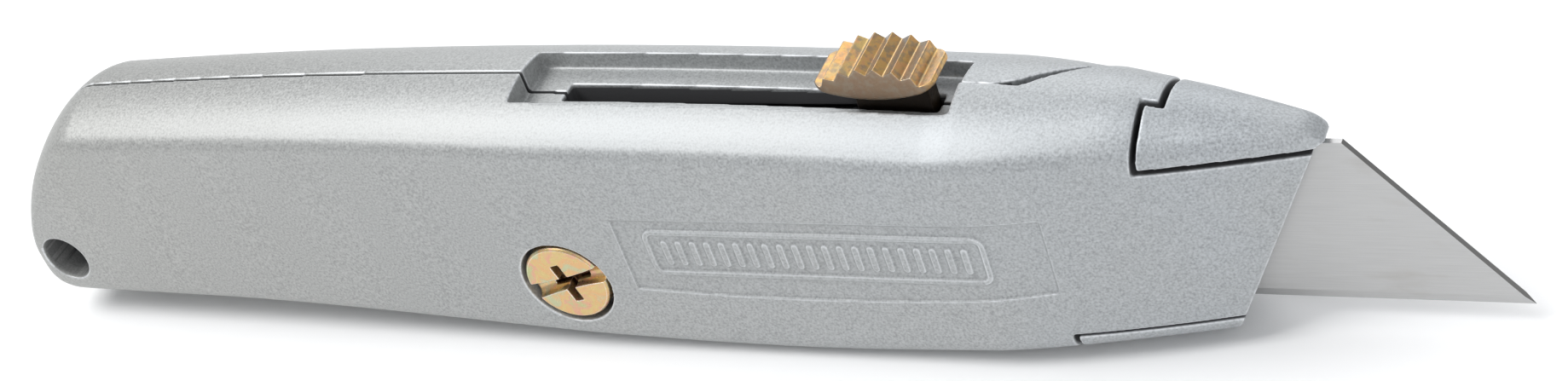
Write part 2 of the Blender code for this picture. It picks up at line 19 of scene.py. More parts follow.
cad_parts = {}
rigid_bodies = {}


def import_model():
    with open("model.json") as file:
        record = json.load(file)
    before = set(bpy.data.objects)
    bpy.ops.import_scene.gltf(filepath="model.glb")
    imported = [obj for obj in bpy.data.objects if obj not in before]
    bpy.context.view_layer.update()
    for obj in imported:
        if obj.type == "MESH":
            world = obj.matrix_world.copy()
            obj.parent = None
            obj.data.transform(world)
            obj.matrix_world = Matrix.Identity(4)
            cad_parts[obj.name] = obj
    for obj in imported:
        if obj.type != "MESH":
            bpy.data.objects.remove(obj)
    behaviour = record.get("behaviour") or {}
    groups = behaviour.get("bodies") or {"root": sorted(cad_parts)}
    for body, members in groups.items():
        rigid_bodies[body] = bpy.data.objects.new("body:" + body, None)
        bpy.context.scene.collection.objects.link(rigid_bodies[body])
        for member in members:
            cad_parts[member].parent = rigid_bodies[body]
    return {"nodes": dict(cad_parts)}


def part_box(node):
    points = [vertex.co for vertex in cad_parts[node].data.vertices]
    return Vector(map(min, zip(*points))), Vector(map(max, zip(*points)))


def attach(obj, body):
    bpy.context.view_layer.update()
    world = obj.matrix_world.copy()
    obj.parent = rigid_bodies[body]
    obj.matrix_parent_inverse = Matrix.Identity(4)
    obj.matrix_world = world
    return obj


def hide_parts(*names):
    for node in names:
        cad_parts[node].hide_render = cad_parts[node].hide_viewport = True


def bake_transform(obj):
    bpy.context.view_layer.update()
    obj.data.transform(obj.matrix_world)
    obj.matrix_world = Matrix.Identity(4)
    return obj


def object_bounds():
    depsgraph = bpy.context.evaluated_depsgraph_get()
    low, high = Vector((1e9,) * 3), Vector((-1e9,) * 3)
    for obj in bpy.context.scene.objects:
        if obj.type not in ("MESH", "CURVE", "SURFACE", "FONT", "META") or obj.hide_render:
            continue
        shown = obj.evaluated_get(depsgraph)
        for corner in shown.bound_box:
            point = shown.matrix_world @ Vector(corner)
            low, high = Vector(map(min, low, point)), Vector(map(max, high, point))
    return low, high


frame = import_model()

CAD_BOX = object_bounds()
MM = 0.001


def node_box(name):
    """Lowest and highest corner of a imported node, in millimetres."""
    low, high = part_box(name)
    return low / MM, high / MM


# Places read from the frame ----------------------------------------------------------------

BODY_LOW, BODY_HIGH = node_box("left_casing")
RIGHT_LOW = node_box("right_casing")[0]
SCREW_LOW, SCREW_HIGH = node_box("casing_screw")
BLADE_LOW, BLADE_HIGH = node_box("blade")
BUTTON_LOW, BUTTON_HIGH = node_box("thumb_button")

STATION_START = 0.12
NOSE_INSET = 0.1
TAIL_X = BODY_LOW.x - STATION_START
NOSE_X = BODY_HIGH.x + NOSE_INSET
FULL_HALF_WIDTH = -RIGHT_LOW.y
SCREW_X = (SCREW_LOW.x + SCREW_HIGH.x) / 2
SCREW_Z = (SCREW_LOW.z + SCREW_HIGH.z) / 2
SCREW_FACE_Y = SCREW_LOW.y
SCREW_END_Y = SCREW_HIGH.y
SCREW_RADIUS = (SCREW_HIGH.x - SCREW_LOW.x) / 2
BLADE_LENGTH = BLADE_HIGH.x - BLADE_LOW.x
BLADE_HEIGHT = BLADE_HIGH.z - BLADE_LOW.z
BLADE_THICKNESS = BLADE_HIGH.y - BLADE_LOW.y
PAD_HALF_WIDTH = BUTTON_HIGH.y
PAD_CENTRE_X = 27.6

# Side view of the body
SPINE_HEIGHT = 29.95
SPINE_PEAK_X = -18.75
SPINE_RADIUS = 890.0
TAIL_CURVE_X = -69.75
TAIL_TIP_Z = 7.65
TAIL_CURVE_POWER = 1.5
TAIL_HEEL_RADIUS = 4.7
TAIL_BELLY_Z = 2.75
TAIL_BELLY_X = -60.75
BELLY_X = 13.25
FRONT_BELLY_Z = 1.4
FRONT_BELLY_X = 55.25
NOSE_STEP_X = 54.85
NOSE_TOP_Z = 26.75
NOSE_TOP_SLOPE = -0.225
NOSE_TIP_RADIUS = 2.25
NOSE_TIP_DROP = 1.6

# Cross sections
CROWN_RADIUS = 13.0
NOSE_CROWN_RADIUS = 7.0
NOSE_CROWN_X = (38.0, 57.0)
SHOULDER_RADIUS = 2.5
KEEL_CROWN_RADIUS = 80.0
KEEL_RADIUS = 2.4
TAIL_HALF_WIDTH = 7.6
TAIL_TAPER_X = -10.75
TAIL_EDGE_RADIUS = 2.7
NOSE_TAPER_X = 35.25
NOSE_HALF_WIDTH = 1.6
NOSE_TAPER_POWER = 1.45
FILLET_SHARE = 0.6
SECTION_FILL = 0.9
CORNER_STEPS = 12

# Where the sections are taken: closer together in the tail, and on both sides of the nose's step
TAIL_STATIONS = 30
TAIL_REACH = 15.0
TAIL_SPREAD_POWER = 1.8
BODY_SPACING = 1.0
NOSE_SPACING = 0.6
STEP_GAP = 0.1
STEP_ROOM = 0.6
NOSE_END_ROOM = 0.5

# Hollow, slider slot, channel and clip
WALL = 1.6
CEILING_Z = 24.6
CAVITY_CHAMFER = 1.0
CAVITY_X = (-75.0, 51.5)
CAVITY_STATIONS = 64
CAVITY_KEEL = [(0.0, 2.2), (0.9, 0.7), (2.2, 0.0)]
CHANNEL_HALF_WIDTH = 0.65
CHANNEL_REAR_X = 50.0
CHANNEL_Z = (2.25, 22.0)
SLOT_X = (-12.35, 35.3)
SLOT_HALF_WIDTH = 4.0
SLOT_DEPTH = 2.6
STEM_SLOT_X = (-8.0, 32.9)
STEM_SLOT_HALF_WIDTH = 1.3
STEM_SLOT_FLOOR_Z = 23.0
COVER_PLAN = [(40.2, 0.15), (44.5, 2.8), (49.5, 6.5), (51.0, 14.0)]
COVER_Z = 22.85
COVER_OVERLAP_Y = -1.0
WEDGE_PLAN = [
    (38.0, 0.05),
    (41.2, -0.25),
    (45.1, 2.6),
    (50.2, 6.5),
    (49.4, 6.95),
    (44.0, 3.3),
    (40.4, 0.85),
]
WEDGE_FLOOR_Z = 25.6
COVER_LIFT = 0.3
COVER_LIFT_X = (33.0, 36.0, 50.0, 55.0)
HOOK_SIDE_X = 52.7
HOOK_SIDE_Y = -1.2
HOOK_SIDE_LEAN = 0.1
HOOK_LINE = [(52.7, 22.6), (67.6, 21.8)]
HOOK_STEP_X = HOOK_SIDE_X - 1.0
LIP_X = 43.45
LIP_Z = 3.85
LIP_REAR_GAP = 0.5
PARTING_GAP = 0.3
HOOK_GAP = 0.6
FRONT_CUT = [
    (57.9, -3.0),
    (57.9, 1.2),
    (58.9, 3.1),
    (67.95, 21.55),
    (68.5, 22.35),
    (75.0, 22.35),
    (75.0, -3.0),
]

# Curve steps of the outlines
SLOT_STEPS = 24
BADGE_STEPS = 12
FRAME_CORNER_STEPS = 6
PAD_UNDER_STEPS = 16
NOTCH_STEPS = 16
SPRING_EDGE_STEPS = 6
DRIVE_STEPS = 12
DRIVE_FLOOR_STEPS = 10

# Screw seat, lanyard hole and badge panel
RECESS_RADIUS = 5.23
RECESS_FLOOR_Y = -6.2
CUP_RADIUS = 6.6
CUP_Y = (-8.3, -4.8)
POST_RADIUS = 4.5
POST_REACH_Y = 8.2
SCREW_BORE_RADIUS = 2.55
SCREW_BORE_END_Y = 6.6
LANYARD_X = -79.55
LANYARD_Z = 8.85
LANYARD_RADIUS = 3.0
BADGE_X = (-2.35, 43.2)
BADGE_TOP_Z = (18.1, 18.3)
BADGE_END_Z = (8.9, 9.5)
BADGE_SAG = 0.95
BADGE_DEPTH = 0.32
FRAME_X = (0.6, 37.4)
FRAME_Z = (10.9, 16.8)
FRAME_CORNER = 1.2
FRAME_WIDTH = 0.6
BADGE_INNER_Y = -1.0
RIB_COUNT = 21
RIB_WIDTH = 0.75
RIB_MARGIN = 0.75
RIB_CORNER = RIB_WIDTH / 2.1

# Blade
BLADE_SLANT = 14.75
NOTCH_OFFSET = 6.25
NOTCH_HALF_WIDTH = 1.6
NOTCH_DEPTH = 2.9
EDGE_BEVEL_HEIGHT = 1.1
EDGE_LAND = 0.03
EDGE_WEDGE_ROOM = 1.0
CUT_BEVEL = 0.06
CUT_BEVEL_ANGLE = math.radians(60.0)
BLADE_CREASE = math.radians(8.0)
SPARES = ("spare_blade_1", "spare_blade_2", "spare_blade_3")

# Thumb pad
PAD_CENTRE_Z = 21.95
PAD_RADIUS = 10.3
PAD_GROOVE = 0.75
PAD_RIDGES = 8
PAD_PITCH = math.radians(10.4)
PAD_UNDER_CENTRE = (28.0, 45.0)
PAD_UNDER_RADIUS = 16.4
PAD_UNDER_HALF_ANGLE = math.radians(21.0)
STEM_X = (24.6, 32.4)
STEM_HALF_WIDTH = 1.0
STEM_Z = (23.75, 29.3)
STEM_SHADE_Z = (28.2, 28.7)
PAD_PLAN_CORNER = 1.6
PAD_END_ROOM = 0.1

# Leaf spring under the button
SPRING_PATH = [(16.2, 23.88), (22.9, 23.88), (23.9, 22.95), (25.4, 22.5), (28.4, 22.5), (31.6, 23.2)]
SPRING_THICKNESS = 0.35
SPRING_HALF_WIDTH = 0.9
SPRING_STEP = 0.2
SPRING_CREASE = math.radians(40.0)

# Screw head
DRIVE_WIDTH = 1.45
DRIVE_FLARE = 0.65
DRIVE_DEPTH = (1.0, 1.35)
DRIVE_TURN = math.radians(-17.0)
CROSS_LENGTH = 4.9
CROSS_DEPTH = 1.95
CROSS_WIDTH = 1.1
HEAD_THICKNESS = 2.5
HEAD_EDGE = 0.25
DRIVE_CLEARANCE = 3.0
SHANK_RADIUS = 2.0
THREAD_PITCH = 0.8
THREAD_DEPTH = 0.28

# Resolution of the fine meshes
SHELL_VOXEL, SHELL_SMOOTHING = ((0.15, 8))
SMALL_VOXEL = 0.08
SMALL_SMOOTHING = 3
SMOOTHING_FACTOR = 0.5
MOST_TRIANGLES = 185000

# Reach of the cutting shapes past what they cut
FAR = 120.0
ABOVE = 40.0
OVERLAP = 0.5

# Marks stored on the meshes: how far an edge's rounding counts, and where a casing gets painted
# shade, as (depth where it starts, depth over which it grows)
ROUNDING_SEEN = 0.15
SMALL_ROUNDING_SEEN = 0.1
SHADE_IN_LANYARD = (0.3, 0.6)
SHADE_IN_SEAM = (0.1, 0.3)
SHADE_IN_HOLLOW = (1.3, 0.3)
SEAM_REACH = 0.9
SEAM_FACING = 0.6
SLOT_FLOOR_ROOM = 0.4
NOSE_CHANNEL_ROOM = 0.2

# Grain, patches and speckle, in millimetres
PAINT_GRAIN = 0.24
PAINT_PATCH = 22.0
PAINT_PEEL = 1.1
PAD_PATCH = 2.2
PAD_SPECK = 0.7
PAD_GRAIN = 0.25
SCREW_PATCH = 2.4
SCREW_GRAIN = 0.3
STEEL_STREAK = 0.16
STEEL_STREAK_STRETCH = (0.03, 1.0, 1.0)
STEEL_STAIN = 3.5
STEEL_STAIN_STRETCH = (0.4, 1.0, 1.0)
GRAIN_SPREAD = (0.3, 0.7)

# Colours of the finishes
# Painted tint of reflected light on the enamel: warmer towards the tail, cooler towards the nose
PAINT_WARM = (0.378, 0.380, 0.366)
PAINT_COOL = (0.404, 0.426, 0.444)
PAINT_FADE_X = (-60.0 * MM, 60.0 * MM)
PAINT_SHADES = [(0.28, 0.74), (0.5, 1.0), (0.72, 1.22)]
PAINT_METALLIC = 0.4
PAINT_SPECULAR = 0.5
# Painted shade in the casings' hollow, seam and lanyard hole: a dark, matte colour with little specular
HOLLOW_SHADE_SPECULAR = 0.05
HOLLOW_SHADE_COLOUR = (0.085, 0.085, 0.088)
ZINC_TINTS = [
    (0.32, (0.53, 0.53, 0.33)),
    (0.42, (0.72, 0.44, 0.22)),
    (0.50, (0.66, 0.51, 0.23)),
    (0.57, (0.72, 0.39, 0.27)),
    (0.66, (0.51, 0.53, 0.27)),
]
ZINC_DISTORTION = 0.6
PAD_GOLD = (0.66, 0.36, 0.10)
PAD_GOLD_SHARE = 0.6
STEEL_SHADES = [(0.3, (0.475, 0.475, 0.472)), (0.7, (0.53, 0.53, 0.527))]
METAL_SHADE_AT = (0.35, 0.65)
METAL_DARKER = 0.75
METAL_ROUGHNESS = (-0.06, 0.1)
CASTING_GREY = (0.42, 0.42, 0.43)
SPRING_GREY = (0.34, 0.34, 0.36)

# Layers of colour, as ((value where it starts, value where it is full, share at both), colour)
PAINT_PATCHES = (0.35, 0.65, 0.0, 0.5), (0.398, 0.403, 0.397)
# Painted highlight on the casings' rounded edges
PAINT_EDGE_HIGHLIGHT = (0.06, 0.45, 0.0, 0.8), (0.80, 0.82, 0.84)
# Painted shade in the casings' grooves
PAINT_GROOVE_SHADE = (-0.15, -0.9, 0.0, 0.35), (0.16, 0.16, 0.16)
PAD_WORN_FACES = (0.1, -0.35, 0.0, 0.85), (0.23, 0.23, 0.225)
PAD_FLANKS = (0.6, 0.9, 0.0, 0.9), (0.25, 0.18, 0.13)
PAD_SPECKLE = (0.46, 0.62, 0.0, 0.65), (0.30, 0.25, 0.19)
PAD_EDGES = (0.1, 0.35, 0.0, 0.4), (0.62, 0.58, 0.50)
PAD_GROOVES = (-0.1, -0.35, 0.0, 0.8), (0.88, 0.68, 0.36)
# Painted shadow on the pad's stem, below the pad
PAD_STEM_SHADOW = (STEM_SHADE_Z[1] * MM, STEM_SHADE_Z[0] * MM, 0.0, 0.92), (0.03, 0.025, 0.022)
SCREW_FACE = SCREW_FACE_Y * MM
# Painted shade down in the screw's drive
SCREW_DRIVE_SHADE = (SCREW_FACE + 1.2 * MM, SCREW_FACE + 1.5 * MM, 0.0, 0.93), (0.05, 0.022, 0.012)
# Painted highlight on the screw head's rounded edges
SCREW_EDGE_HIGHLIGHT = (0.04, 0.2, 0.0, 0.8), (0.92, 0.87, 0.82)
STEEL_STAINS = (0.6, 0.75, 0.0, 0.3), (0.34, 0.31, 0.27)
STEEL_GROUND_BAND = (0.1, 0.2, 0.0, 0.12), (0.25, 0.25, 0.25)
STEEL_CUT_ENDS = (0.3, 0.5, 0.0, 0.8), (0.12, 0.115, 0.11)

# Sockets of a Mix node when it mixes colours
MIX_SHARE = 0
MIX_FIRST = 6
MIX_SECOND = 7
MIX_RESULT = 2

# Camera and light
CAMERA_TARGET = Vector((0.01013, 0.00365, 0.01138))
CAMERA_DISTANCE = 0.26188
CAMERA_AZIMUTH = math.radians(34.05)
CAMERA_ELEVATION = math.radians(36.03)
CAMERA_ROLL = math.radians(-20.67)
CAMERA_LENS = 58.73
SENSOR_WIDTH = 36.0
CAMERA_CLIP = (0.01, 50.0)
FLOOR_SIZE = 6.0
FLOOR_COLOUR = (0.93, 0.93, 0.93, 1.0)
SURROUND_COLOUR = (0.95, 0.97, 1.0, 1.0)
SURROUND_STRENGTH = 0.52

# Area lights, as (name, place, aim, size, power)
LIGHTS = [
    ("key", (-0.7, -0.27, 1.36), (0.0, 0.0, 0.01), 1.0, 19.5),
    ("back", (-0.2, 0.7, 0.5), (0.0, 0.0, 0.02), 0.6, 2.1),
    ("front", (0.5, -0.4, 0.3), (0.05, 0.0, 0.01), 0.5, 0.8),
]


# Small helpers -----------------------------------------------------------------------------

scratch = bpy.data.collections.new("scratch_shapes")
bpy.context.scene.collection.children.link(scratch)


def smoothstep(value):
    """Ease from 0 to 1 with level ends."""
    value = min(max(value, 0.0), 1.0)
    return value * value * (3.0 - 2.0 * value)


def arc(centre, radius, start, end, steps):
    """Points along an arc in a plane."""
    angles = [start + (end - start) * i / steps for i in range(steps + 1)]
    return [(centre[0] + radius * math.cos(a), centre[1] + radius * math.sin(a)) for a in angles]


def new_object(name, bm):
    """Object in the scratch collection from a bmesh in millimetres."""
    bmesh.ops.recalc_face_normals(bm, faces=bm.faces)
    mesh = bpy.data.meshes.new(name)
    bm.to_mesh(mesh)
    bm.free()
    item = bpy.data.objects.new(name, mesh)
    scratch.objects.link(item)
    return item


def prism(name, outline, axis, low, high):
    """Closed prism over a flat outline, along Y from (x, z) points or along Z from (x, y)."""
    bm = bmesh.new()
    ends = []
    for level in (low, high):
        if axis == "Y":
            ends.append([bm.verts.new((x, level, z)) for x, z in outline])
        else:
            ends.append([bm.verts.new((x, y, level)) for x, y in outline])
    bm.faces.new(ends[0])
    bm.faces.new(list(reversed(ends[1])))
    for i in range(len(outline)):
        j = (i + 1) % len(outline)
        bm.faces.new((ends[0][j], ends[0][i], ends[1][i], ends[1][j]))
    return new_object(name, bm)


def box(name, x, y, z):
    """Box between two corners."""
    return prism(name, [(x[0], y[0]), (x[1], y[0]), (x[1], y[1]), (x[0], y[1])], "Z", z[0], z[1])


def turned(name, profile, centre, segments=96):
    """Solid turned about an axis along Y through (x, z), from (radius, y) points, axis to axis."""
    bm = bmesh.new()
    rings = []
    for radius, y in profile:
        if radius == 0.0:
            rings.append([bm.verts.new((centre[0], y, centre[1]))] * segments)
        else:
            points = arc(centre, radius, 0.0, math.tau * (segments - 1) / segments, segments - 1)
            rings.append([bm.verts.new((x, y, z)) for x, z in points])
    for lower, upper in zip(rings, rings[1:]):
        for i in range(segments):
            j = (i + 1) % segments
            corners = dict.fromkeys((lower[i], lower[j], upper[j], upper[i]))
            if len(corners) > 2:
                bm.faces.new(list(corners))
    return new_object(name, bm)


def cylinder(name, radius, centre, y):
    """Round bar along Y."""
    return turned(name, [(0.0, y[0]), (radius, y[0]), (radius, y[1]), (0.0, y[1])], centre)


def combine(target, other, operation):
    """Boolean with another closed shape."""
    modifier = target.modifiers.new(other.name, "BOOLEAN")
    modifier.operation = operation
    modifier.solver = "MANIFOLD"
    modifier.object = other


def evaluated_mesh(item):
    """New mesh of an object with its modifiers applied."""
    bpy.context.view_layer.update()
    graph = bpy.context.evaluated_depsgraph_get()
    return bpy.data.meshes.new_from_object(item.evaluated_get(graph))


def settle(item):
    """Apply an object's modifiers."""
    mesh = evaluated_mesh(item)
    item.modifiers.clear()
    item.data = mesh


def soften(item, voxel, smoothing):
    """Remesh finely, so that every edge gets a small round, and thin out to a number of triangles."""
    remesh = item.modifiers.new("remesh", "REMESH")
    remesh.mode = "VOXEL"
    remesh.voxel_size = voxel
    smooth = item.modifiers.new("smooth", "SMOOTH")
    smooth.factor = SMOOTHING_FACTOR
    smooth.iterations = smoothing
    settle(item)
    triangles = 2 * len(item.data.polygons)
    if triangles > MOST_TRIANGLES:
        item.modifiers.new("thin", "DECIMATE").ratio = MOST_TRIANGLES / triangles
        settle(item)


def surface(item):
    """Search tree over an object's mesh."""
    mesh = item.data
    return BVHTree.FromPolygons([v.co for v in mesh.vertices], [tuple(p.vertices) for p in mesh.polygons])


def add_to_scene(item):
    """Link an object to the scene's own collection."""
    bpy.context.scene.collection.objects.link(item)


def finish_piece(item, name, body, nodes, material):
    """Apply the modifiers, scale to metres, and put the piece on its body, if it has just one."""
    mesh = evaluated_mesh(item)
    mesh.transform(Matrix.Scale(MM, 4))
    mesh.name = name
    mesh.shade_smooth()
    mesh.materials.clear()
    mesh.materials.append(material)
    piece = bpy.data.objects.new(name, mesh)
    add_to_scene(piece)
    if body:
        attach(piece, body)
    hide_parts(*nodes)
    return piece


# Shape of the body -------------------------------------------------------------------------

def spine_arc(x):
    """Height of the spine's long shallow arc."""
    return SPINE_HEIGHT - (x - SPINE_PEAK_X) ** 2 / (2 * SPINE_RADIUS)


def spine(x, step):
    """Height of the body's top along the middle; the nose's straight top starts at a step."""
    if x < TAIL_CURVE_X:
        reach = min((TAIL_CURVE_X - x) / (TAIL_CURVE_X - TAIL_X), 1.0)
        rise = (1.0 - reach ** TAIL_CURVE_POWER) ** (1.0 / TAIL_CURVE_POWER)
        return TAIL_TIP_Z + (spine_arc(TAIL_CURVE_X) - TAIL_TIP_Z) * rise
    if x < step:
        return spine_arc(x)
    line = NOSE_TOP_Z + NOSE_TOP_SLOPE * (x - NOSE_STEP_X)
    past = max(x - (NOSE_X - NOSE_TIP_RADIUS), 0.0) / NOSE_TIP_RADIUS
    return line - NOSE_TIP_DROP * (1.0 - math.sqrt(max(1.0 - past * past, 0.0)))


def belly(x):
    """Height of the body's underside along the middle."""
    if x < BELLY_X:
        height = TAIL_BELLY_Z * (1.0 - smoothstep((x - TAIL_BELLY_X) / (BELLY_X - TAIL_BELLY_X)))
    else:
        height = FRONT_BELLY_Z * smoothstep((x - BELLY_X) / (FRONT_BELLY_X - BELLY_X))
    past = max(TAIL_X + TAIL_HEEL_RADIUS - x, 0.0) / TAIL_HEEL_RADIUS
    return height + (TAIL_TIP_Z - TAIL_BELLY_Z) * (1.0 - math.sqrt(max(1.0 - past * past, 0.0)))


def half_width(x):
    """Half of the body's width."""
    if x > NOSE_TAPER_X:
        reach = (x - NOSE_TAPER_X) / (NOSE_X - NOSE_TAPER_X)
        return FULL_HALF_WIDTH - (FULL_HALF_WIDTH - NOSE_HALF_WIDTH) * reach ** NOSE_TAPER_POWER
    taper = min(max((TAIL_TAPER_X - x) / (TAIL_TAPER_X - TAIL_X), 0.0), 1.0)
    width = FULL_HALF_WIDTH - (FULL_HALF_WIDTH - TAIL_HALF_WIDTH) * taper
    past = max(TAIL_X + TAIL_EDGE_RADIUS - x, 0.0) / TAIL_EDGE_RADIUS
    return width - TAIL_EDGE_RADIUS * (1.0 - math.sqrt(max(1.0 - past * past, 0.0)))


def crowned_corner(width, crown, fillet):
    """Half profile of a crowned face and its rounded corner, as (y, drop from the crown)."""
    fillet = min(fillet, FILLET_SHARE * width)
    reach = width - fillet
    turn = math.asin(reach / (crown - fillet))
    points = []
    for i in range(CORNER_STEPS + 1):
        angle = turn * i / CORNER_STEPS
        points.append((crown * math.sin(angle), crown * (1.0 - math.cos(angle))))
    centre = crown - (crown - fillet) * math.cos(turn)
    for i in range(1, CORNER_STEPS + 1):
        angle = turn + (math.pi / 2 - turn) * i / CORNER_STEPS
        points.append((reach + fillet * math.sin(angle), centre - fillet * math.cos(angle)))
    return points


def cover_lift(x):
    """How far the cover's top stands proud of the other casing in front of the slot."""
    start, full, fading, end = COVER_LIFT_X
    rise = smoothstep((x - start) / (full - start))
    fall = smoothstep((x - fading) / (end - fading))
    return COVER_LIFT * rise * (1.0 - fall)


def section(x, inset, lift, step):
    """Closed ring of (y, z) points around the body; inset draws its sides in and lift raises its top."""
    width = half_width(x) - inset
    top = spine(x, step) + lift
    bottom = belly(x)
    sharpening = smoothstep((x - NOSE_CROWN_X[0]) / (NOSE_CROWN_X[1] - NOSE_CROWN_X[0]))
    crown = CROWN_RADIUS + (NOSE_CROWN_RADIUS - CROWN_RADIUS) * sharpening
    upper = crowned_corner(width, crown, SHOULDER_RADIUS)
    lower = crowned_corner(width, KEEL_CROWN_RADIUS, KEEL_RADIUS)
    squash = min(1.0, SECTION_FILL * (top - bottom) / (upper[-1][1] + lower[-1][1]))
    right = [(y, top - squash * fall) for y, fall in upper]
    right += [(y, bottom + squash * fall) for y, fall in reversed(lower)]
    return right + [(-y, z) for y, z in reversed(right[1:-1])]


def stations(step):
    """Places along the body, close together at its two ends and at the nose's step."""
    spread = [(i / (TAIL_STATIONS - 1)) ** TAIL_SPREAD_POWER for i in range(TAIL_STATIONS)]
    tail = [TAIL_X + STATION_START + TAIL_REACH * share for share in spread]
    middle = list(np.arange(tail[-1] + BODY_SPACING, step - STEP_ROOM, BODY_SPACING))
    nose = list(np.arange(step + STEP_GAP, NOSE_X - NOSE_END_ROOM, NOSE_SPACING))
    return [float(x) for x in tail + middle + [step - STEP_GAP] + nose + [NOSE_X - NOSE_INSET]]


def loft(name, rings):
    """Closed skin through rings of (y, z) points at given x."""
    bm = bmesh.new()
    made = [[bm.verts.new((x, y, z)) for y, z in ring] for x, ring in rings]
    count = len(made[0])
    for rear, front in zip(made, made[1:]):
        for i in range(count):
            j = (i + 1) % count
            bm.faces.new((rear[i], rear[j], front[j], front[i]))
    bm.faces.new(list(reversed(made[0])))
    bm.faces.new(made[-1])
    return new_object(name, bm)


def envelope(name, inset=0.0, lift=0.0, step=NOSE_STEP_X):
    """Outer skin of both casings together; lift is the share of the cover's rise."""
    rings = [(x, section(x, inset, lift * cover_lift(x), step)) for x in stations(step)]
    return loft(name, rings)


def cavity():
    """Hollow inside the casings."""
    rings = []
    for x in np.linspace(CAVITY_X[0], CAVITY_X[1], CAVITY_STATIONS):
        x = float(x)
        width = half_width(x) - WALL
        top = min(spine(x, NOSE_STEP_X) - WALL, CEILING_Z)
        bottom = belly(x) + WALL
        if x > SCREW_X:
            bottom = min(bottom, CHANNEL_Z[0])
        half = [(width - CAVITY_CHAMFER, top), (width, top - CAVITY_CHAMFER)]
        half += [(width - inset, bottom + rise) for inset, rise in CAVITY_KEEL]
        rings.append((x, half + [(-y, z) for y, z in reversed(half)]))
    return loft("cavity", rings)


def hook_shape(name, gap):
    """Region of the nose hook."""
    (rear, rear_z), (front, front_z) = HOOK_LINE
    slope = (front_z - rear_z) / (front - rear)

    def side_view(start, lean):
        levels = [(x, rear_z - gap + slope * (x - rear)) for x in (start, FAR)]
        return levels + [(FAR, ABOVE), (start + lean * (ABOVE - rear_z), ABOVE)]

    hook = prism(name, side_view(HOOK_SIDE_X - gap, HOOK_SIDE_LEAN), "Y", -FAR, HOOK_SIDE_Y + gap)
    bridge = prism(name + "_bridge", side_view(NOSE_STEP_X - gap, 0.0), "Y", -FAR - OVERLAP, FAR)
    combine(hook, bridge, "UNION")
    return hook


def right_region(name, grow):
    """Space of the right casing; grow is +1 to cut the left one with it, -1 for its own."""
    seam = grow * PARTING_GAP / 2
    half = box(name, (-FAR, FAR), (-FAR, seam), (-FAR, FAR))
    front = NOSE_STEP_X + grow * HOOK_GAP / 2
    plan = [(x - seam, y) for x, y in COVER_PLAN]
    plan += [(front, plan[-1][1]), (front, COVER_OVERLAP_Y), (plan[0][0], COVER_OVERLAP_Y)]
    reach = FAR + OVERLAP
    lip_x = (LIP_X + grow * LIP_REAR_GAP / 2, reach)
    combine(half, prism(name + "_cover", plan, "Z", COVER_Z - seam, ABOVE), "UNION")
    combine(half, hook_shape(name + "_hook", -grow * HOOK_GAP / 2), "DIFFERENCE")
    combine(half, box(name + "_lip", lip_x, (-reach, FAR), (-reach, LIP_Z - seam)), "DIFFERENCE")
    return half


def slot_outline():
    """Side view of the slider slot, whose floor follows the spine."""
    floor = []
    for i in range(SLOT_STEPS + 1):
        x = SLOT_X[0] + (SLOT_X[1] - SLOT_X[0]) * i / SLOT_STEPS
        floor.append((x, spine_arc(x) - SLOT_DEPTH))
    return floor + [(SLOT_X[1], ABOVE), (SLOT_X[0], ABOVE)]


def rounded_frame(x, z, corner):
    """Outline of a plain rectangle with round corners."""
    points = []
    for centre_x, centre_z, start in (
        (x[1] - corner, z[0] + corner, -math.pi / 2),
        (x[1] - corner, z[1] - corner, 0.0),
        (x[0] + corner, z[1] - corner, math.pi / 2),
        (x[0] + corner, z[0] + corner, math.pi),
    ):
        points += arc((centre_x, centre_z), corner, start, start + math.pi / 2, FRAME_CORNER_STEPS)
    return points


def badge_outline():
    """Side view of the badge panel, whose lower side sags."""
    lower = []
    for i in range(BADGE_STEPS + 1):
        share = i / BADGE_STEPS
        x = BADGE_X[0] + (BADGE_X[1] - BADGE_X[0]) * share
        straight = BADGE_END_Z[0] + (BADGE_END_Z[1] - BADGE_END_Z[0]) * share
        lower.append((x, straight - 4.0 * BADGE_SAG * share * (1.0 - share)))
    return lower + [(BADGE_X[1], BADGE_TOP_Z[1]), (BADGE_X[0], BADGE_TOP_Z[0])]


def badge_cutter():
    """Shallow panel in the side, with a plain border and an even row of ribs left standing in it."""
    cutter = prism("badge", badge_outline(), "Y", -FAR, BADGE_INNER_Y)
    combine(cutter, envelope("badge_floor", BADGE_DEPTH), "DIFFERENCE")
    ring = prism("badge_frame", rounded_frame(FRAME_X, FRAME_Z, FRAME_CORNER), "Y", -FAR, 0.0)
    inner_x = (FRAME_X[0] + FRAME_WIDTH, FRAME_X[1] - FRAME_WIDTH)
    inner_z = (FRAME_Z[0] + FRAME_WIDTH, FRAME_Z[1] - FRAME_WIDTH)
    inner = rounded_frame(inner_x, inner_z, FRAME_CORNER - FRAME_WIDTH)
    combine(ring, prism("badge_frame_inner", inner, "Y", -FAR - OVERLAP, OVERLAP), "DIFFERENCE")
    combine(cutter, ring, "DIFFERENCE")
    rib_z = (inner_z[0] + RIB_MARGIN, inner_z[1] - RIB_MARGIN)
    for i in range(RIB_COUNT):
        x = inner_x[0] + (inner_x[1] - inner_x[0]) * (i + 1) / (RIB_COUNT + 1)
        rib = rounded_frame((x - RIB_WIDTH / 2, x + RIB_WIDTH / 2), rib_z, RIB_CORNER)
        combine(cutter, prism(f"badge_rib_{i}", rib, "Y", -FAR, 0.0), "DIFFERENCE")
    return cutter


# Materials ---------------------------------------------------------------------------------

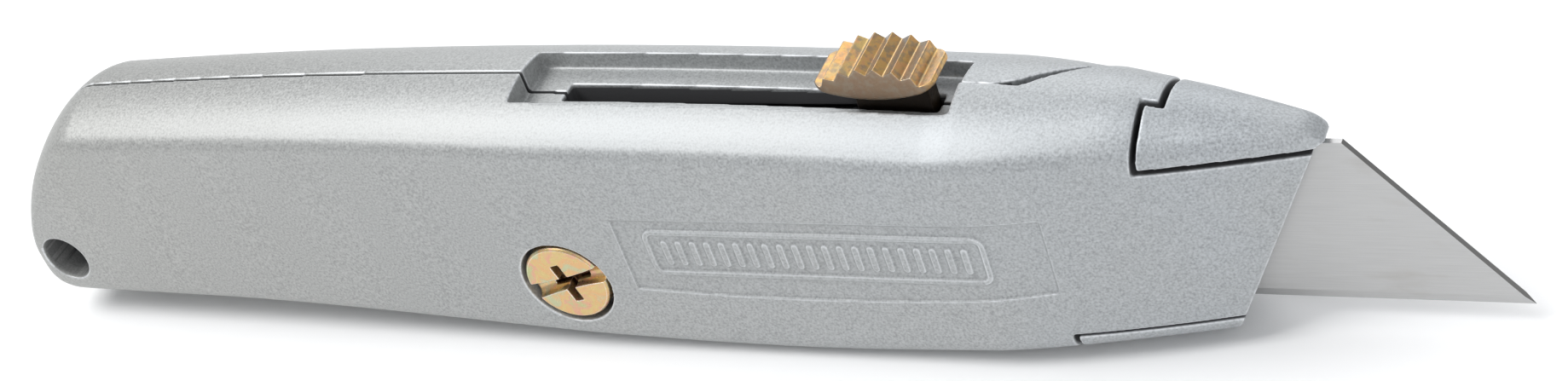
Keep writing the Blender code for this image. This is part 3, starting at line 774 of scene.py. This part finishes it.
class Finish:
    """Principled material with helpers for its procedural nodes."""

    def __init__(self, name, metallic, roughness):
        self.material = bpy.data.materials.new(name)
        self.material.use_nodes = True
        self.tree = self.material.node_tree
        self.shader = self.tree.nodes["Principled BSDF"]
        self.shader.inputs["Metallic"].default_value = metallic
        self.shader.inputs["Roughness"].default_value = roughness

    def add(self, kind, inputs=None, **settings):
        """Add a node; inputs holds values or other nodes' outputs."""
        node = self.tree.nodes.new("ShaderNode" + kind)
        for key, value in settings.items():
            setattr(node, key, value)
        for key, value in (inputs or {}).items():
            if isinstance(value, bpy.types.NodeSocket):
                self.tree.links.new(value, node.inputs[key])
            else:
                node.inputs[key].default_value = value
        return node

    def set(self, name, output):
        """Drive one input of the shader."""
        self.tree.links.new(output, self.shader.inputs[name])

    def place(self, stretch=(1.0, 1.0, 1.0)):
        """Position on the object, in metres, stretched along its axes."""
        where = self.add("TexCoord").outputs["Object"]
        return self.add("Mapping", {"Vector": where, "Scale": stretch}).outputs["Vector"]

    def axes(self, kind):
        """The X, Y and Z of "Object", the place in metres, or of "Normal", the way a face looks."""
        return self.add("SeparateXYZ", {"Vector": self.add("TexCoord").outputs[kind]}).outputs

    def stored(self, name):
        """Value stored on the mesh."""
        return self.add("Attribute", attribute_name=name).outputs["Fac"]

    def unsigned(self, value):
        """A value without its sign."""
        return self.add("Math", {0: value}, operation="ABSOLUTE").outputs[0]

    def noise(self, size, detail, stretch=(1.0, 1.0, 1.0), distortion=0.0):
        """Noise with features of about a size in millimetres."""
        scale = 1.0 / (size * MM)
        inputs = {"Vector": self.place(stretch), "Scale": scale, "Detail": detail, "Distortion": distortion}
        return self.add("TexNoise", inputs).outputs["Fac"]

    def ramp(self, value, stops):
        """Colours or greys along a value, as (position, colour) stops."""
        node = self.add("ValToRGB", {"Fac": value})
        elements = node.color_ramp.elements
        while len(elements) < len(stops):
            elements.new(0.5)
        for element, (position, colour) in zip(elements, stops):
            element.position = position
            element.color = (*colour, 1.0) if isinstance(colour, tuple) else (colour, colour, colour, 1.0)
        return node.outputs["Color"]

    def mix(self, share, first, second, blend="MIX"):
        """Mix of two colours."""
        node = self.add("Mix", data_type="RGBA", blend_type=blend)
        for index, value in ((MIX_SHARE, share), (MIX_FIRST, first), (MIX_SECOND, second)):
            if isinstance(value, bpy.types.NodeSocket):
                self.tree.links.new(value, node.inputs[index])
            elif isinstance(value, tuple):
                node.inputs[index].default_value = (*value, 1.0)
            else:
                node.inputs[index].default_value = value
        return node.outputs[MIX_RESULT]

    def range(self, value, low, high, start=0.0, end=1.0):
        """Map a value from one range to another, held at both ends."""
        inputs = {"Value": value, "From Min": low, "From Max": high, "To Min": start, "To Max": end}
        return self.add("MapRange", inputs).outputs["Result"]

    def layer(self, colour, value, span, top):
        """Lay a colour over another where a value is in a span."""
        return self.mix(self.range(value, *span), colour, top)

    def vary_roughness(self, grain, low, high):
        """Let the roughness follow the grain."""
        self.set("Roughness", self.range(grain, *GRAIN_SPREAD, low, high))

    def bump(self, height, strength, distance):
        """Raise the surface by a height value; distance is in millimetres."""
        inputs = {"Height": height, "Strength": strength, "Distance": distance * MM}
        self.set("Normal", self.add("Bump", inputs).outputs["Normal"])


def silver_paint():
    """Fine metallic grey enamel on a die casting: grain, warm and cool ends as a painted tint of reflected
    light, painted highlights on the edges, painted shade in the grooves and inside.
    """
    finish = Finish("silver_enamel", PAINT_METALLIC, roughness=0.47)
    place = finish.axes("Object")
    grain = finish.noise(PAINT_GRAIN, detail=2.0)
    # Painted tint of reflected light: warmer towards the tail, cooler towards the nose
    tone = finish.mix(finish.range(place["X"], *PAINT_FADE_X), PAINT_WARM, PAINT_COOL)
    tone = finish.layer(tone, finish.noise(PAINT_PATCH, detail=3.0), *PAINT_PATCHES)
    base = finish.mix(1.0, tone, finish.ramp(grain, PAINT_SHADES), "MULTIPLY")
    edge = finish.stored("edge")
    # Painted highlight on the rounded edges
    base = finish.layer(base, edge, *PAINT_EDGE_HIGHLIGHT)
    # Painted shade in the grooves
    base = finish.layer(base, edge, *PAINT_GROOVE_SHADE)
    # Painted shade in the hollow, the seam and the lanyard hole: dark and matte
    inside = finish.stored("inside")
    finish.set("Base Color", finish.mix(inside, base, HOLLOW_SHADE_COLOUR))
    finish.set("Metallic", finish.range(inside, 0.0, 1.0, PAINT_METALLIC, 0.0))
    finish.set("Specular IOR Level", finish.range(inside, 0.0, 1.0, PAINT_SPECULAR, HOLLOW_SHADE_SPECULAR))
    finish.vary_roughness(grain, low=0.41, high=0.54)
    peel = finish.noise(PAINT_PEEL, detail=2.0)
    height = finish.add("Math", {0: grain, 1: peel}, operation="ADD").outputs[0]
    finish.bump(height, strength=0.3, distance=0.03)
    return finish.material


def zinc_colour(finish, size):
    """Rainbow patches of yellow chromate plating."""
    patches = finish.noise(size, detail=4.0, distortion=ZINC_DISTORTION)
    return finish.ramp(patches, ZINC_TINTS)


def zinc_button():
    """Plated thumb pad: gold on the faces towards the blade, worn grey behind, brown rough sides, and a
    painted shadow on its stem.
    """
    finish = Finish("yellow_zinc_pad", metallic=0.9, roughness=0.36)
    colour = finish.mix(PAD_GOLD_SHARE, zinc_colour(finish, PAD_PATCH), PAD_GOLD)
    facing = finish.axes("Normal")
    colour = finish.layer(colour, facing["X"], *PAD_WORN_FACES)
    colour = finish.layer(colour, finish.unsigned(facing["Y"]), *PAD_FLANKS)
    place = finish.axes("Object")
    colour = finish.layer(colour, finish.noise(PAD_SPECK, detail=4.0), *PAD_SPECKLE)
    edge = finish.stored("edge")
    colour = finish.layer(colour, edge, *PAD_EDGES)
    colour = finish.layer(colour, edge, *PAD_GROOVES)
    # Painted shadow: the stem under the pad turns nearly black
    finish.set("Base Color", finish.layer(colour, place["Z"], *PAD_STEM_SHADOW))
    grain = finish.noise(PAD_GRAIN, detail=3.0)
    finish.vary_roughness(grain, low=0.3, high=0.5)
    finish.bump(grain, strength=0.4, distance=0.04)
    return finish.material


def zinc_screw():
    """Plated screw head, with painted shade down into its drive and painted highlights on its rounded
    edges.
    """
    finish = Finish("yellow_zinc_screw", metallic=0.9, roughness=0.3)
    depth = finish.axes("Object")["Y"]
    # Painted shade down in the drive
    colour = finish.layer(zinc_colour(finish, SCREW_PATCH), depth, *SCREW_DRIVE_SHADE)
    # Painted highlight on the rounded edges
    finish.set("Base Color", finish.layer(colour, finish.stored("edge"), *SCREW_EDGE_HIGHLIGHT))
    grain = finish.noise(SCREW_GRAIN, detail=3.0)
    finish.vary_roughness(grain, low=0.24, high=0.42)
    finish.bump(grain, strength=0.25, distance=0.03)
    return finish.material


def blade_steel():
    """Ground carbon steel: fine streaks, faint stains, a darker ground band and dark cut ends."""
    finish = Finish("ground_blade_steel", metallic=0.7, roughness=0.38)
    streaks = finish.noise(STEEL_STREAK, detail=3.0, stretch=STEEL_STREAK_STRETCH)
    colour = finish.ramp(streaks, STEEL_SHADES)
    stains = finish.noise(STEEL_STAIN, detail=4.0, stretch=STEEL_STAIN_STRETCH)
    colour = finish.layer(colour, stains, *STEEL_STAINS)
    facing = finish.axes("Normal")
    colour = finish.layer(colour, finish.unsigned(facing["Z"]), *STEEL_GROUND_BAND)
    colour = finish.layer(colour, finish.unsigned(facing["X"]), *STEEL_CUT_ENDS)
    finish.set("Base Color", colour)
    finish.vary_roughness(streaks, low=0.28, high=0.42)
    finish.bump(streaks, strength=0.2, distance=0.01)
    return finish.material


def bare_metal(name, colour, roughness, size):
    """Plain metal with fine mottling."""
    finish = Finish(name, 0.85, roughness)
    grain = finish.noise(size, detail=3.0)
    darker = tuple(value * METAL_DARKER for value in colour)
    finish.set("Base Color", finish.ramp(grain, list(zip(METAL_SHADE_AT, (darker, colour)))))
    finish.vary_roughness(grain, roughness + METAL_ROUGHNESS[0], roughness + METAL_ROUGHNESS[1])
    finish.bump(grain, strength=0.3, distance=0.03)
    return finish.material


# Pieces ------------------------------------------------------------------------------------

def is_open_recess(place):
    """Whether a point lies in the slider slot, the screw's seat or the open nose, which keep their silver
    paint without painted shade.
    """
    in_slot = (
        SLOT_X[0] - OVERLAP < place.x < SLOT_X[1] + OVERLAP
        and abs(place.y) < SLOT_HALF_WIDTH + OVERLAP
        and place.z > spine_arc(place.x) - SLOT_DEPTH - SLOT_FLOOR_ROOM
    )
    from_screw = math.hypot(place.x - SCREW_X, place.z - SCREW_Z)
    in_seat = from_screw < CUP_RADIUS and place.y < RECESS_FLOOR_Y + OVERLAP
    on_nose = place.x > HOOK_SIDE_X and abs(place.y) > CHANNEL_HALF_WIDTH + NOSE_CHANNEL_ROOM
    return in_slot or in_seat or on_nose


def shade_at_depth(depth, span):
    """How much painted shade a depth gets, for the depth where the shade starts and the depth over which it
    grows.
    """
    return smoothstep((depth - span[0]) / span[1])


def shade_amount(place, normal, depth, other):
    """How much painted shade a casing's surface gets: in its hollow, the lanyard hole and the faces of the
    seam.
    """
    if math.hypot(place.x - LANYARD_X, place.z - LANYARD_Z) < LANYARD_RADIUS + OVERLAP:
        return shade_at_depth(depth, SHADE_IN_LANYARD)
    across = other.find_nearest(place)[0] - place
    if across.length < SEAM_REACH and across.dot(normal) > SEAM_FACING * across.length:
        return shade_at_depth(depth, SHADE_IN_SEAM)
    return 0.0 if is_open_recess(place) else shade_at_depth(depth, SHADE_IN_HOLLOW)


def mark_edges(piece, sharp, rounding):
    """Store where a piece's rounded edges (above 0) and grooves (below 0) leave its sharp shape."""
    mesh = piece.data
    edges = np.zeros(len(mesh.vertices), np.float32)
    for i, vert in enumerate(mesh.vertices):
        place = vert.co / MM
        nearest, normal, _, distance = sharp.find_nearest(place)
        edges[i] = -distance / rounding * math.copysign(1.0, (place - nearest).dot(normal))
    mesh.attributes.new("edge", "FLOAT", "POINT").data.foreach_set("value", edges)


def mark_painted_shade(piece, skin, other):
    """Store how much painted shade each place on a casing gets."""
    mesh = piece.data
    dark = np.zeros(len(mesh.vertices), np.float32)
    for i, vert in enumerate(mesh.vertices):
        place = vert.co / MM
        dark[i] = shade_amount(place, vert.normal, skin.find_nearest(place)[3], other)
    mesh.attributes.new("inside", "FLOAT", "POINT").data.foreach_set("value", dark)


def shared_cutters():
    """Shapes cut from both casings, once the hollow and the screw's post are in them."""
    channel_y = (-CHANNEL_HALF_WIDTH, CHANNEL_HALF_WIDTH)
    stem_y = (-STEM_SLOT_HALF_WIDTH, STEM_SLOT_HALF_WIDTH)
    return [
        box("channel", (CHANNEL_REAR_X, FAR), channel_y, CHANNEL_Z),
        prism("slider_slot", slot_outline(), "Y", -SLOT_HALF_WIDTH, SLOT_HALF_WIDTH),
        box("stem_slot", STEM_SLOT_X, stem_y, (STEM_SLOT_FLOOR_Z, ABOVE)),
        prism("front_face", FRONT_CUT, "Y", -FAR, FAR),
        cylinder("lanyard", LANYARD_RADIUS, (LANYARD_X, LANYARD_Z), (-FAR, FAR)),
        cylinder("screw_bore", SCREW_BORE_RADIUS, (SCREW_X, SCREW_Z), (-FAR, SCREW_BORE_END_Y)),
        prism("seam_wedge", WEDGE_PLAN, "Z", WEDGE_FLOOR_Z, ABOVE),
    ]


def sharp_shell(shell, changes, grow, operation):
    """Turn a skin into one casing with sharp edges; changes holds (shape, operation) pairs."""
    for other, change in changes:
        combine(shell, other, change)
    combine(shell, right_region(shell.name + "_region", grow), operation)
    settle(shell)
    return shell, surface(shell)


def make_shells(material):
    """Both casings, finely remeshed so that their edges are softly cast."""
    screw = (SCREW_X, SCREW_Z)
    inner = [
        (cavity(), "DIFFERENCE"),
        (cylinder("post", POST_RADIUS, screw, (-POST_REACH_Y, POST_REACH_Y)), "UNION"),
    ]
    seat_and_badge = [
        (cylinder("cup", CUP_RADIUS, screw, CUP_Y), "UNION"),
        (cylinder("recess", RECESS_RADIUS, screw, (-FAR, RECESS_FLOOR_Y)), "DIFFERENCE"),
        (badge_cutter(), "DIFFERENCE"),
    ]
    cuts = [(cutter, "DIFFERENCE") for cutter in shared_cutters()]
    skin = surface(envelope("skin"))
    right, right_sharp = sharp_shell(
        envelope("right_solid", lift=1.0), inner + seat_and_badge + cuts, -1, "INTERSECT")
    left, left_sharp = sharp_shell(
        envelope("left_solid", step=HOOK_STEP_X), inner + cuts, 1, "DIFFERENCE")
    for shell, sharp, facing, name, node, body in (
        (right, right_sharp, left_sharp, "right_shell", "right_casing", "cover"),
        (left, left_sharp, right_sharp, "left_shell", "left_casing", "handle"),
    ):
        soften(shell, SHELL_VOXEL, SHELL_SMOOTHING)
        piece = finish_piece(shell, name, body, [node], material)
        mark_edges(piece, sharp, ROUNDING_SEEN)
        mark_painted_shade(piece, skin, facing)


def make_pad(material):
    """Thumb pad with its ridges, on its stem."""
    points = []
    first = math.pi / 2 + PAD_PITCH * (PAD_RIDGES - 1) / 2
    for i in range(2 * PAD_RIDGES - 1):
        angle = first - PAD_PITCH * i / 2
        radius = PAD_RADIUS - (PAD_GROOVE if i % 2 else 0.0)
        points.append((PAD_CENTRE_X + radius * math.cos(angle), PAD_CENTRE_Z + radius * math.sin(angle)))
    start = PAD_UNDER_HALF_ANGLE - math.pi / 2
    end = -PAD_UNDER_HALF_ANGLE - math.pi / 2
    points += arc(PAD_UNDER_CENTRE, PAD_UNDER_RADIUS, start, end, PAD_UNDER_STEPS)
    pad = prism("pad_solid", points, "Y", -PAD_HALF_WIDTH, PAD_HALF_WIDTH)
    plan_x = (BUTTON_LOW.x - PAD_END_ROOM, BUTTON_HIGH.x + PAD_END_ROOM)
    plan = rounded_frame(plan_x, (-PAD_HALF_WIDTH, PAD_HALF_WIDTH), PAD_PLAN_CORNER)
    combine(pad, prism("pad_plan", plan, "Z", 0.0, ABOVE), "INTERSECT")
    combine(pad, box("pad_stem", STEM_X, (-STEM_HALF_WIDTH, STEM_HALF_WIDTH), STEM_Z), "UNION")
    settle(pad)
    sharp = surface(pad)
    soften(pad, SMALL_VOXEL, SMALL_SMOOTHING)
    piece = finish_piece(pad, "ridged_thumb_pad", "button", ["thumb_button"], material)
    mark_edges(piece, sharp, SMALL_ROUNDING_SEEN)


def screw_profile():
    """Half section of the screw as (radius, y): a flat head with a small edge and a threaded shank."""
    y = SCREW_FACE_Y + HEAD_THICKNESS
    profile = [
        (0.0, SCREW_FACE_Y),
        (SCREW_RADIUS - HEAD_EDGE, SCREW_FACE_Y),
        (SCREW_RADIUS, SCREW_FACE_Y + HEAD_EDGE),
        (SCREW_RADIUS, y),
        (SHANK_RADIUS, y),
    ]
    while y + THREAD_PITCH < SCREW_END_Y:
        profile.append((SHANK_RADIUS - THREAD_DEPTH, y + THREAD_PITCH / 2))
        y += THREAD_PITCH
        profile.append((SHANK_RADIUS, y))
    return profile + [(SHANK_RADIUS - THREAD_DEPTH, SCREW_END_Y), (0.0, SCREW_END_Y)]


def drive_slot():
    """Cutter across the screw's head: round-bottomed, and wider and shallower towards its ends."""
    rings = []
    for i in range(2 * DRIVE_STEPS + 1):
        share = i / DRIVE_STEPS - 1.0
        half = (DRIVE_WIDTH + DRIVE_FLARE * share * share) / 2
        depth = DRIVE_DEPTH[1] - (DRIVE_DEPTH[1] - DRIVE_DEPTH[0]) * share * share
        centre = (SCREW_FACE_Y + depth - half, 0.0)
        floor = arc(centre, half, -math.pi / 2, math.pi / 2, DRIVE_FLOOR_STEPS)
        outside = SCREW_FACE_Y - DRIVE_CLEARANCE
        rings.append((share * (SCREW_RADIUS + OVERLAP), [(outside, -half)] + floor + [(outside, half)]))
    return loft("drive_slot", rings)


def make_screw(material):
    """Screw with a round-bottomed slot across its head, a cross in the middle and a threaded shank."""
    screw = turned("screw_solid", screw_profile(), (SCREW_X, SCREW_Z))
    turn = Matrix.Translation((SCREW_X, 0.0, SCREW_Z)) @ Matrix.Rotation(DRIVE_TURN, 4, "Y")
    drive = drive_slot()
    drive.matrix_world = turn
    combine(screw, drive, "DIFFERENCE")
    span = (-CROSS_LENGTH / 2, CROSS_LENGTH / 2)
    width = (-CROSS_WIDTH / 2, CROSS_WIDTH / 2)
    for name, angle in (("cross_a", 0.0), ("cross_b", math.pi / 2)):
        wing = box(name, span, (-FAR, SCREW_FACE_Y + CROSS_DEPTH), width)
        wing.matrix_world = turn @ Matrix.Rotation(angle, 4, "Y")
        combine(screw, wing, "DIFFERENCE")
    settle(screw)
    sharp = surface(screw)
    soften(screw, SMALL_VOXEL, SMALL_SMOOTHING)
    piece = finish_piece(screw, "slotted_screw", "screw", ["casing_screw"], material)
    mark_edges(piece, sharp, SMALL_ROUNDING_SEEN)


def blade_outline():
    """Trapezoid blade about its own middle, long edge down, with two notches above."""
    end = BLADE_LENGTH / 2
    outline = [(-end, 0.0), (end, 0.0), (end - BLADE_SLANT, BLADE_HEIGHT)]
    for centre in (NOTCH_OFFSET, -NOTCH_OFFSET):
        base = BLADE_HEIGHT - NOTCH_DEPTH + NOTCH_HALF_WIDTH
        outline.append((centre + NOTCH_HALF_WIDTH, BLADE_HEIGHT))
        outline += arc((centre, base), NOTCH_HALF_WIDTH, 0.0, -math.pi, NOTCH_STEPS)
        outline.append((centre - NOTCH_HALF_WIDTH, BLADE_HEIGHT))
    return outline + [(BLADE_SLANT - end, BLADE_HEIGHT)]


def edge_wedge(name, side):
    """Cutter that grinds one side of a blade's long edge; side is 1 or -1."""
    face = BLADE_THICKNESS / 2
    outside = face + EDGE_WEDGE_ROOM
    points = [
        (EDGE_LAND / 2, -OVERLAP),
        (EDGE_LAND / 2, 0.0),
        (face, EDGE_BEVEL_HEIGHT),
        (outside, EDGE_BEVEL_HEIGHT),
        (outside, -OVERLAP),
    ]
    return loft(name, [(x, [(side * y, z) for y, z in points]) for x in (-FAR, FAR)])


def make_blade(name, node, body, flip, material):
    """One blade, with its long edge ground on both sides."""
    low, high = node_box(node)
    blade = prism(name + "_solid", blade_outline(), "Y", -BLADE_THICKNESS / 2, BLADE_THICKNESS / 2)
    for side in (1, -1):
        combine(blade, edge_wedge(f"{name}_wedge_{side}", side), "DIFFERENCE")
    bevel = blade.modifiers.new("bevel", "BEVEL")
    bevel.width = CUT_BEVEL
    bevel.segments = 1
    bevel.limit_method = "ANGLE"
    bevel.angle_limit = CUT_BEVEL_ANGLE
    upright = Matrix.Scale(-1.0, 4, (0, 0, 1)) if flip else Matrix.Identity(4)
    edge_z = high.z if flip else low.z
    piece = finish_piece(blade, name, body, [node], material)
    middle = Vector(((low.x + high.x) / 2, (low.y + high.y) / 2, edge_z)) * MM
    piece.data.transform(Matrix.Translation(middle) @ upright)
    if flip:
        piece.data.flip_normals()
    piece.data.set_sharp_from_angle(angle=BLADE_CREASE)


def spring_ring(x):
    """Section of the spring at one station: a strip with rounded edges, thicker where it slopes."""
    path_x, path_z = zip(*SPRING_PATH)
    near = [float(np.interp(x + shift * SPRING_STEP, path_x, path_z)) for shift in (-1, 0, 1)]
    slope = (near[2] - near[0]) / (2 * SPRING_STEP)
    half = SPRING_THICKNESS / 2 * math.sqrt(1.0 + slope * slope)
    middle = sum(near) / len(near)
    edge = SPRING_HALF_WIDTH - SPRING_THICKNESS / 2
    rim = arc((0.0, 0.0), 1.0, -math.pi / 2, math.pi / 2, SPRING_EDGE_STEPS)
    right = [(edge + half * y, middle + half * z) for y, z in rim]
    return right + [(-y, z) for y, z in reversed(right)]


def make_spring(material):
    """Leaf spring: a bent strip that starts at the carrier behind and runs with its tongue under the
    button; it is put on no body.
    """
    steps = round((SPRING_PATH[-1][0] - SPRING_PATH[0][0]) / SPRING_STEP)
    places = [SPRING_PATH[0][0] + i * SPRING_STEP for i in range(steps + 1)]
    spring = loft("spring_solid", [(x, spring_ring(x)) for x in places])
    piece = finish_piece(spring, "bent_leaf_spring", None, ["leaf_spring"], material)
    piece.data.set_sharp_from_angle(angle=SPRING_CREASE)
    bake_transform(piece)


def finish_carrier():
    """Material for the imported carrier, which stays as it is."""
    material = bare_metal("plain_die_casting", CASTING_GREY, roughness=0.5, size=0.5)
    for slot in frame["nodes"]["blade_carrier"].material_slots:
        slot.link = "OBJECT"
        slot.material = material


# Stage -------------------------------------------------------------------------------------

def add_camera():
    """Camera at the viewing angle, rolled so that the knife lies along the frame."""
    across = math.cos(CAMERA_ELEVATION)
    sideways = math.sin(CAMERA_AZIMUTH) * across
    back = Vector((sideways, -math.cos(CAMERA_AZIMUTH) * across, math.sin(CAMERA_ELEVATION)))
    camera = bpy.data.objects.new("camera", bpy.data.cameras.new("camera"))
    add_to_scene(camera)
    camera.data.lens = CAMERA_LENS
    camera.data.sensor_width = SENSOR_WIDTH
    camera.data.clip_start, camera.data.clip_end = CAMERA_CLIP
    turn = back.to_track_quat("Z", "Y").to_matrix().to_4x4() @ Matrix.Rotation(CAMERA_ROLL, 4, "Z")
    camera.matrix_world = Matrix.Translation(CAMERA_TARGET + back * CAMERA_DISTANCE) @ turn
    bpy.context.scene.camera = camera


def add_area(name, place, aim, size, power):
    """Square soft light aimed at a point."""
    data = bpy.data.lights.new(name, "AREA")
    data.size = size
    data.energy = power
    light = bpy.data.objects.new(name, data)
    add_to_scene(light)
    place = Vector(place)
    light.location = place
    light.rotation_euler = (Vector(aim) - place).to_track_quat("-Z", "Y").to_euler()


def add_floor():
    """Pale paper under the knife."""
    bm = bmesh.new()
    bmesh.ops.create_grid(bm, x_segments=1, y_segments=1, size=FLOOR_SIZE / 2)
    mesh = bpy.data.meshes.new("floor")
    bm.to_mesh(mesh)
    bm.free()
    floor = bpy.data.objects.new("floor", mesh)
    floor.location.z = CAD_BOX[0].z
    add_to_scene(floor)
    paper = Finish("pale_paper", metallic=0.0, roughness=0.9)
    paper.shader.inputs["Base Color"].default_value = FLOOR_COLOUR
    mesh.materials.append(paper.material)


def add_surround():
    """Pale light from all around."""
    world = bpy.data.worlds.new("studio")
    world.use_nodes = True
    background = world.node_tree.nodes["Background"]
    background.inputs["Color"].default_value = SURROUND_COLOUR
    background.inputs["Strength"].default_value = SURROUND_STRENGTH
    bpy.context.scene.world = world


def add_stage():
    """Floor, surround and lights."""
    add_floor()
    add_surround()
    for name, place, aim, size, power in LIGHTS:
        add_area(name, place, aim, size, power)
    bpy.context.scene.view_settings.view_transform = "Standard"


def remove_scratch():
    """Remove the shapes that the pieces were made from."""
    for item in list(scratch.objects):
        bpy.data.objects.remove(item, do_unlink=True)
    bpy.data.collections.remove(scratch)


def main():
    """Build every piece around the frame."""
    add_camera()
    add_stage()
    make_shells(silver_paint())
    make_pad(zinc_button())
    make_screw(zinc_screw())
    steel = blade_steel()
    make_blade("ground_blade", "blade", "carriage", False, steel)
    for number, node in enumerate(SPARES):
        make_blade(f"stored_blade_{number + 1}", node, "handle", True, steel)
    make_spring(bare_metal("rolled_spring_steel", SPRING_GREY, roughness=0.34, size=0.3))
    finish_carrier()
    remove_scratch()


main()
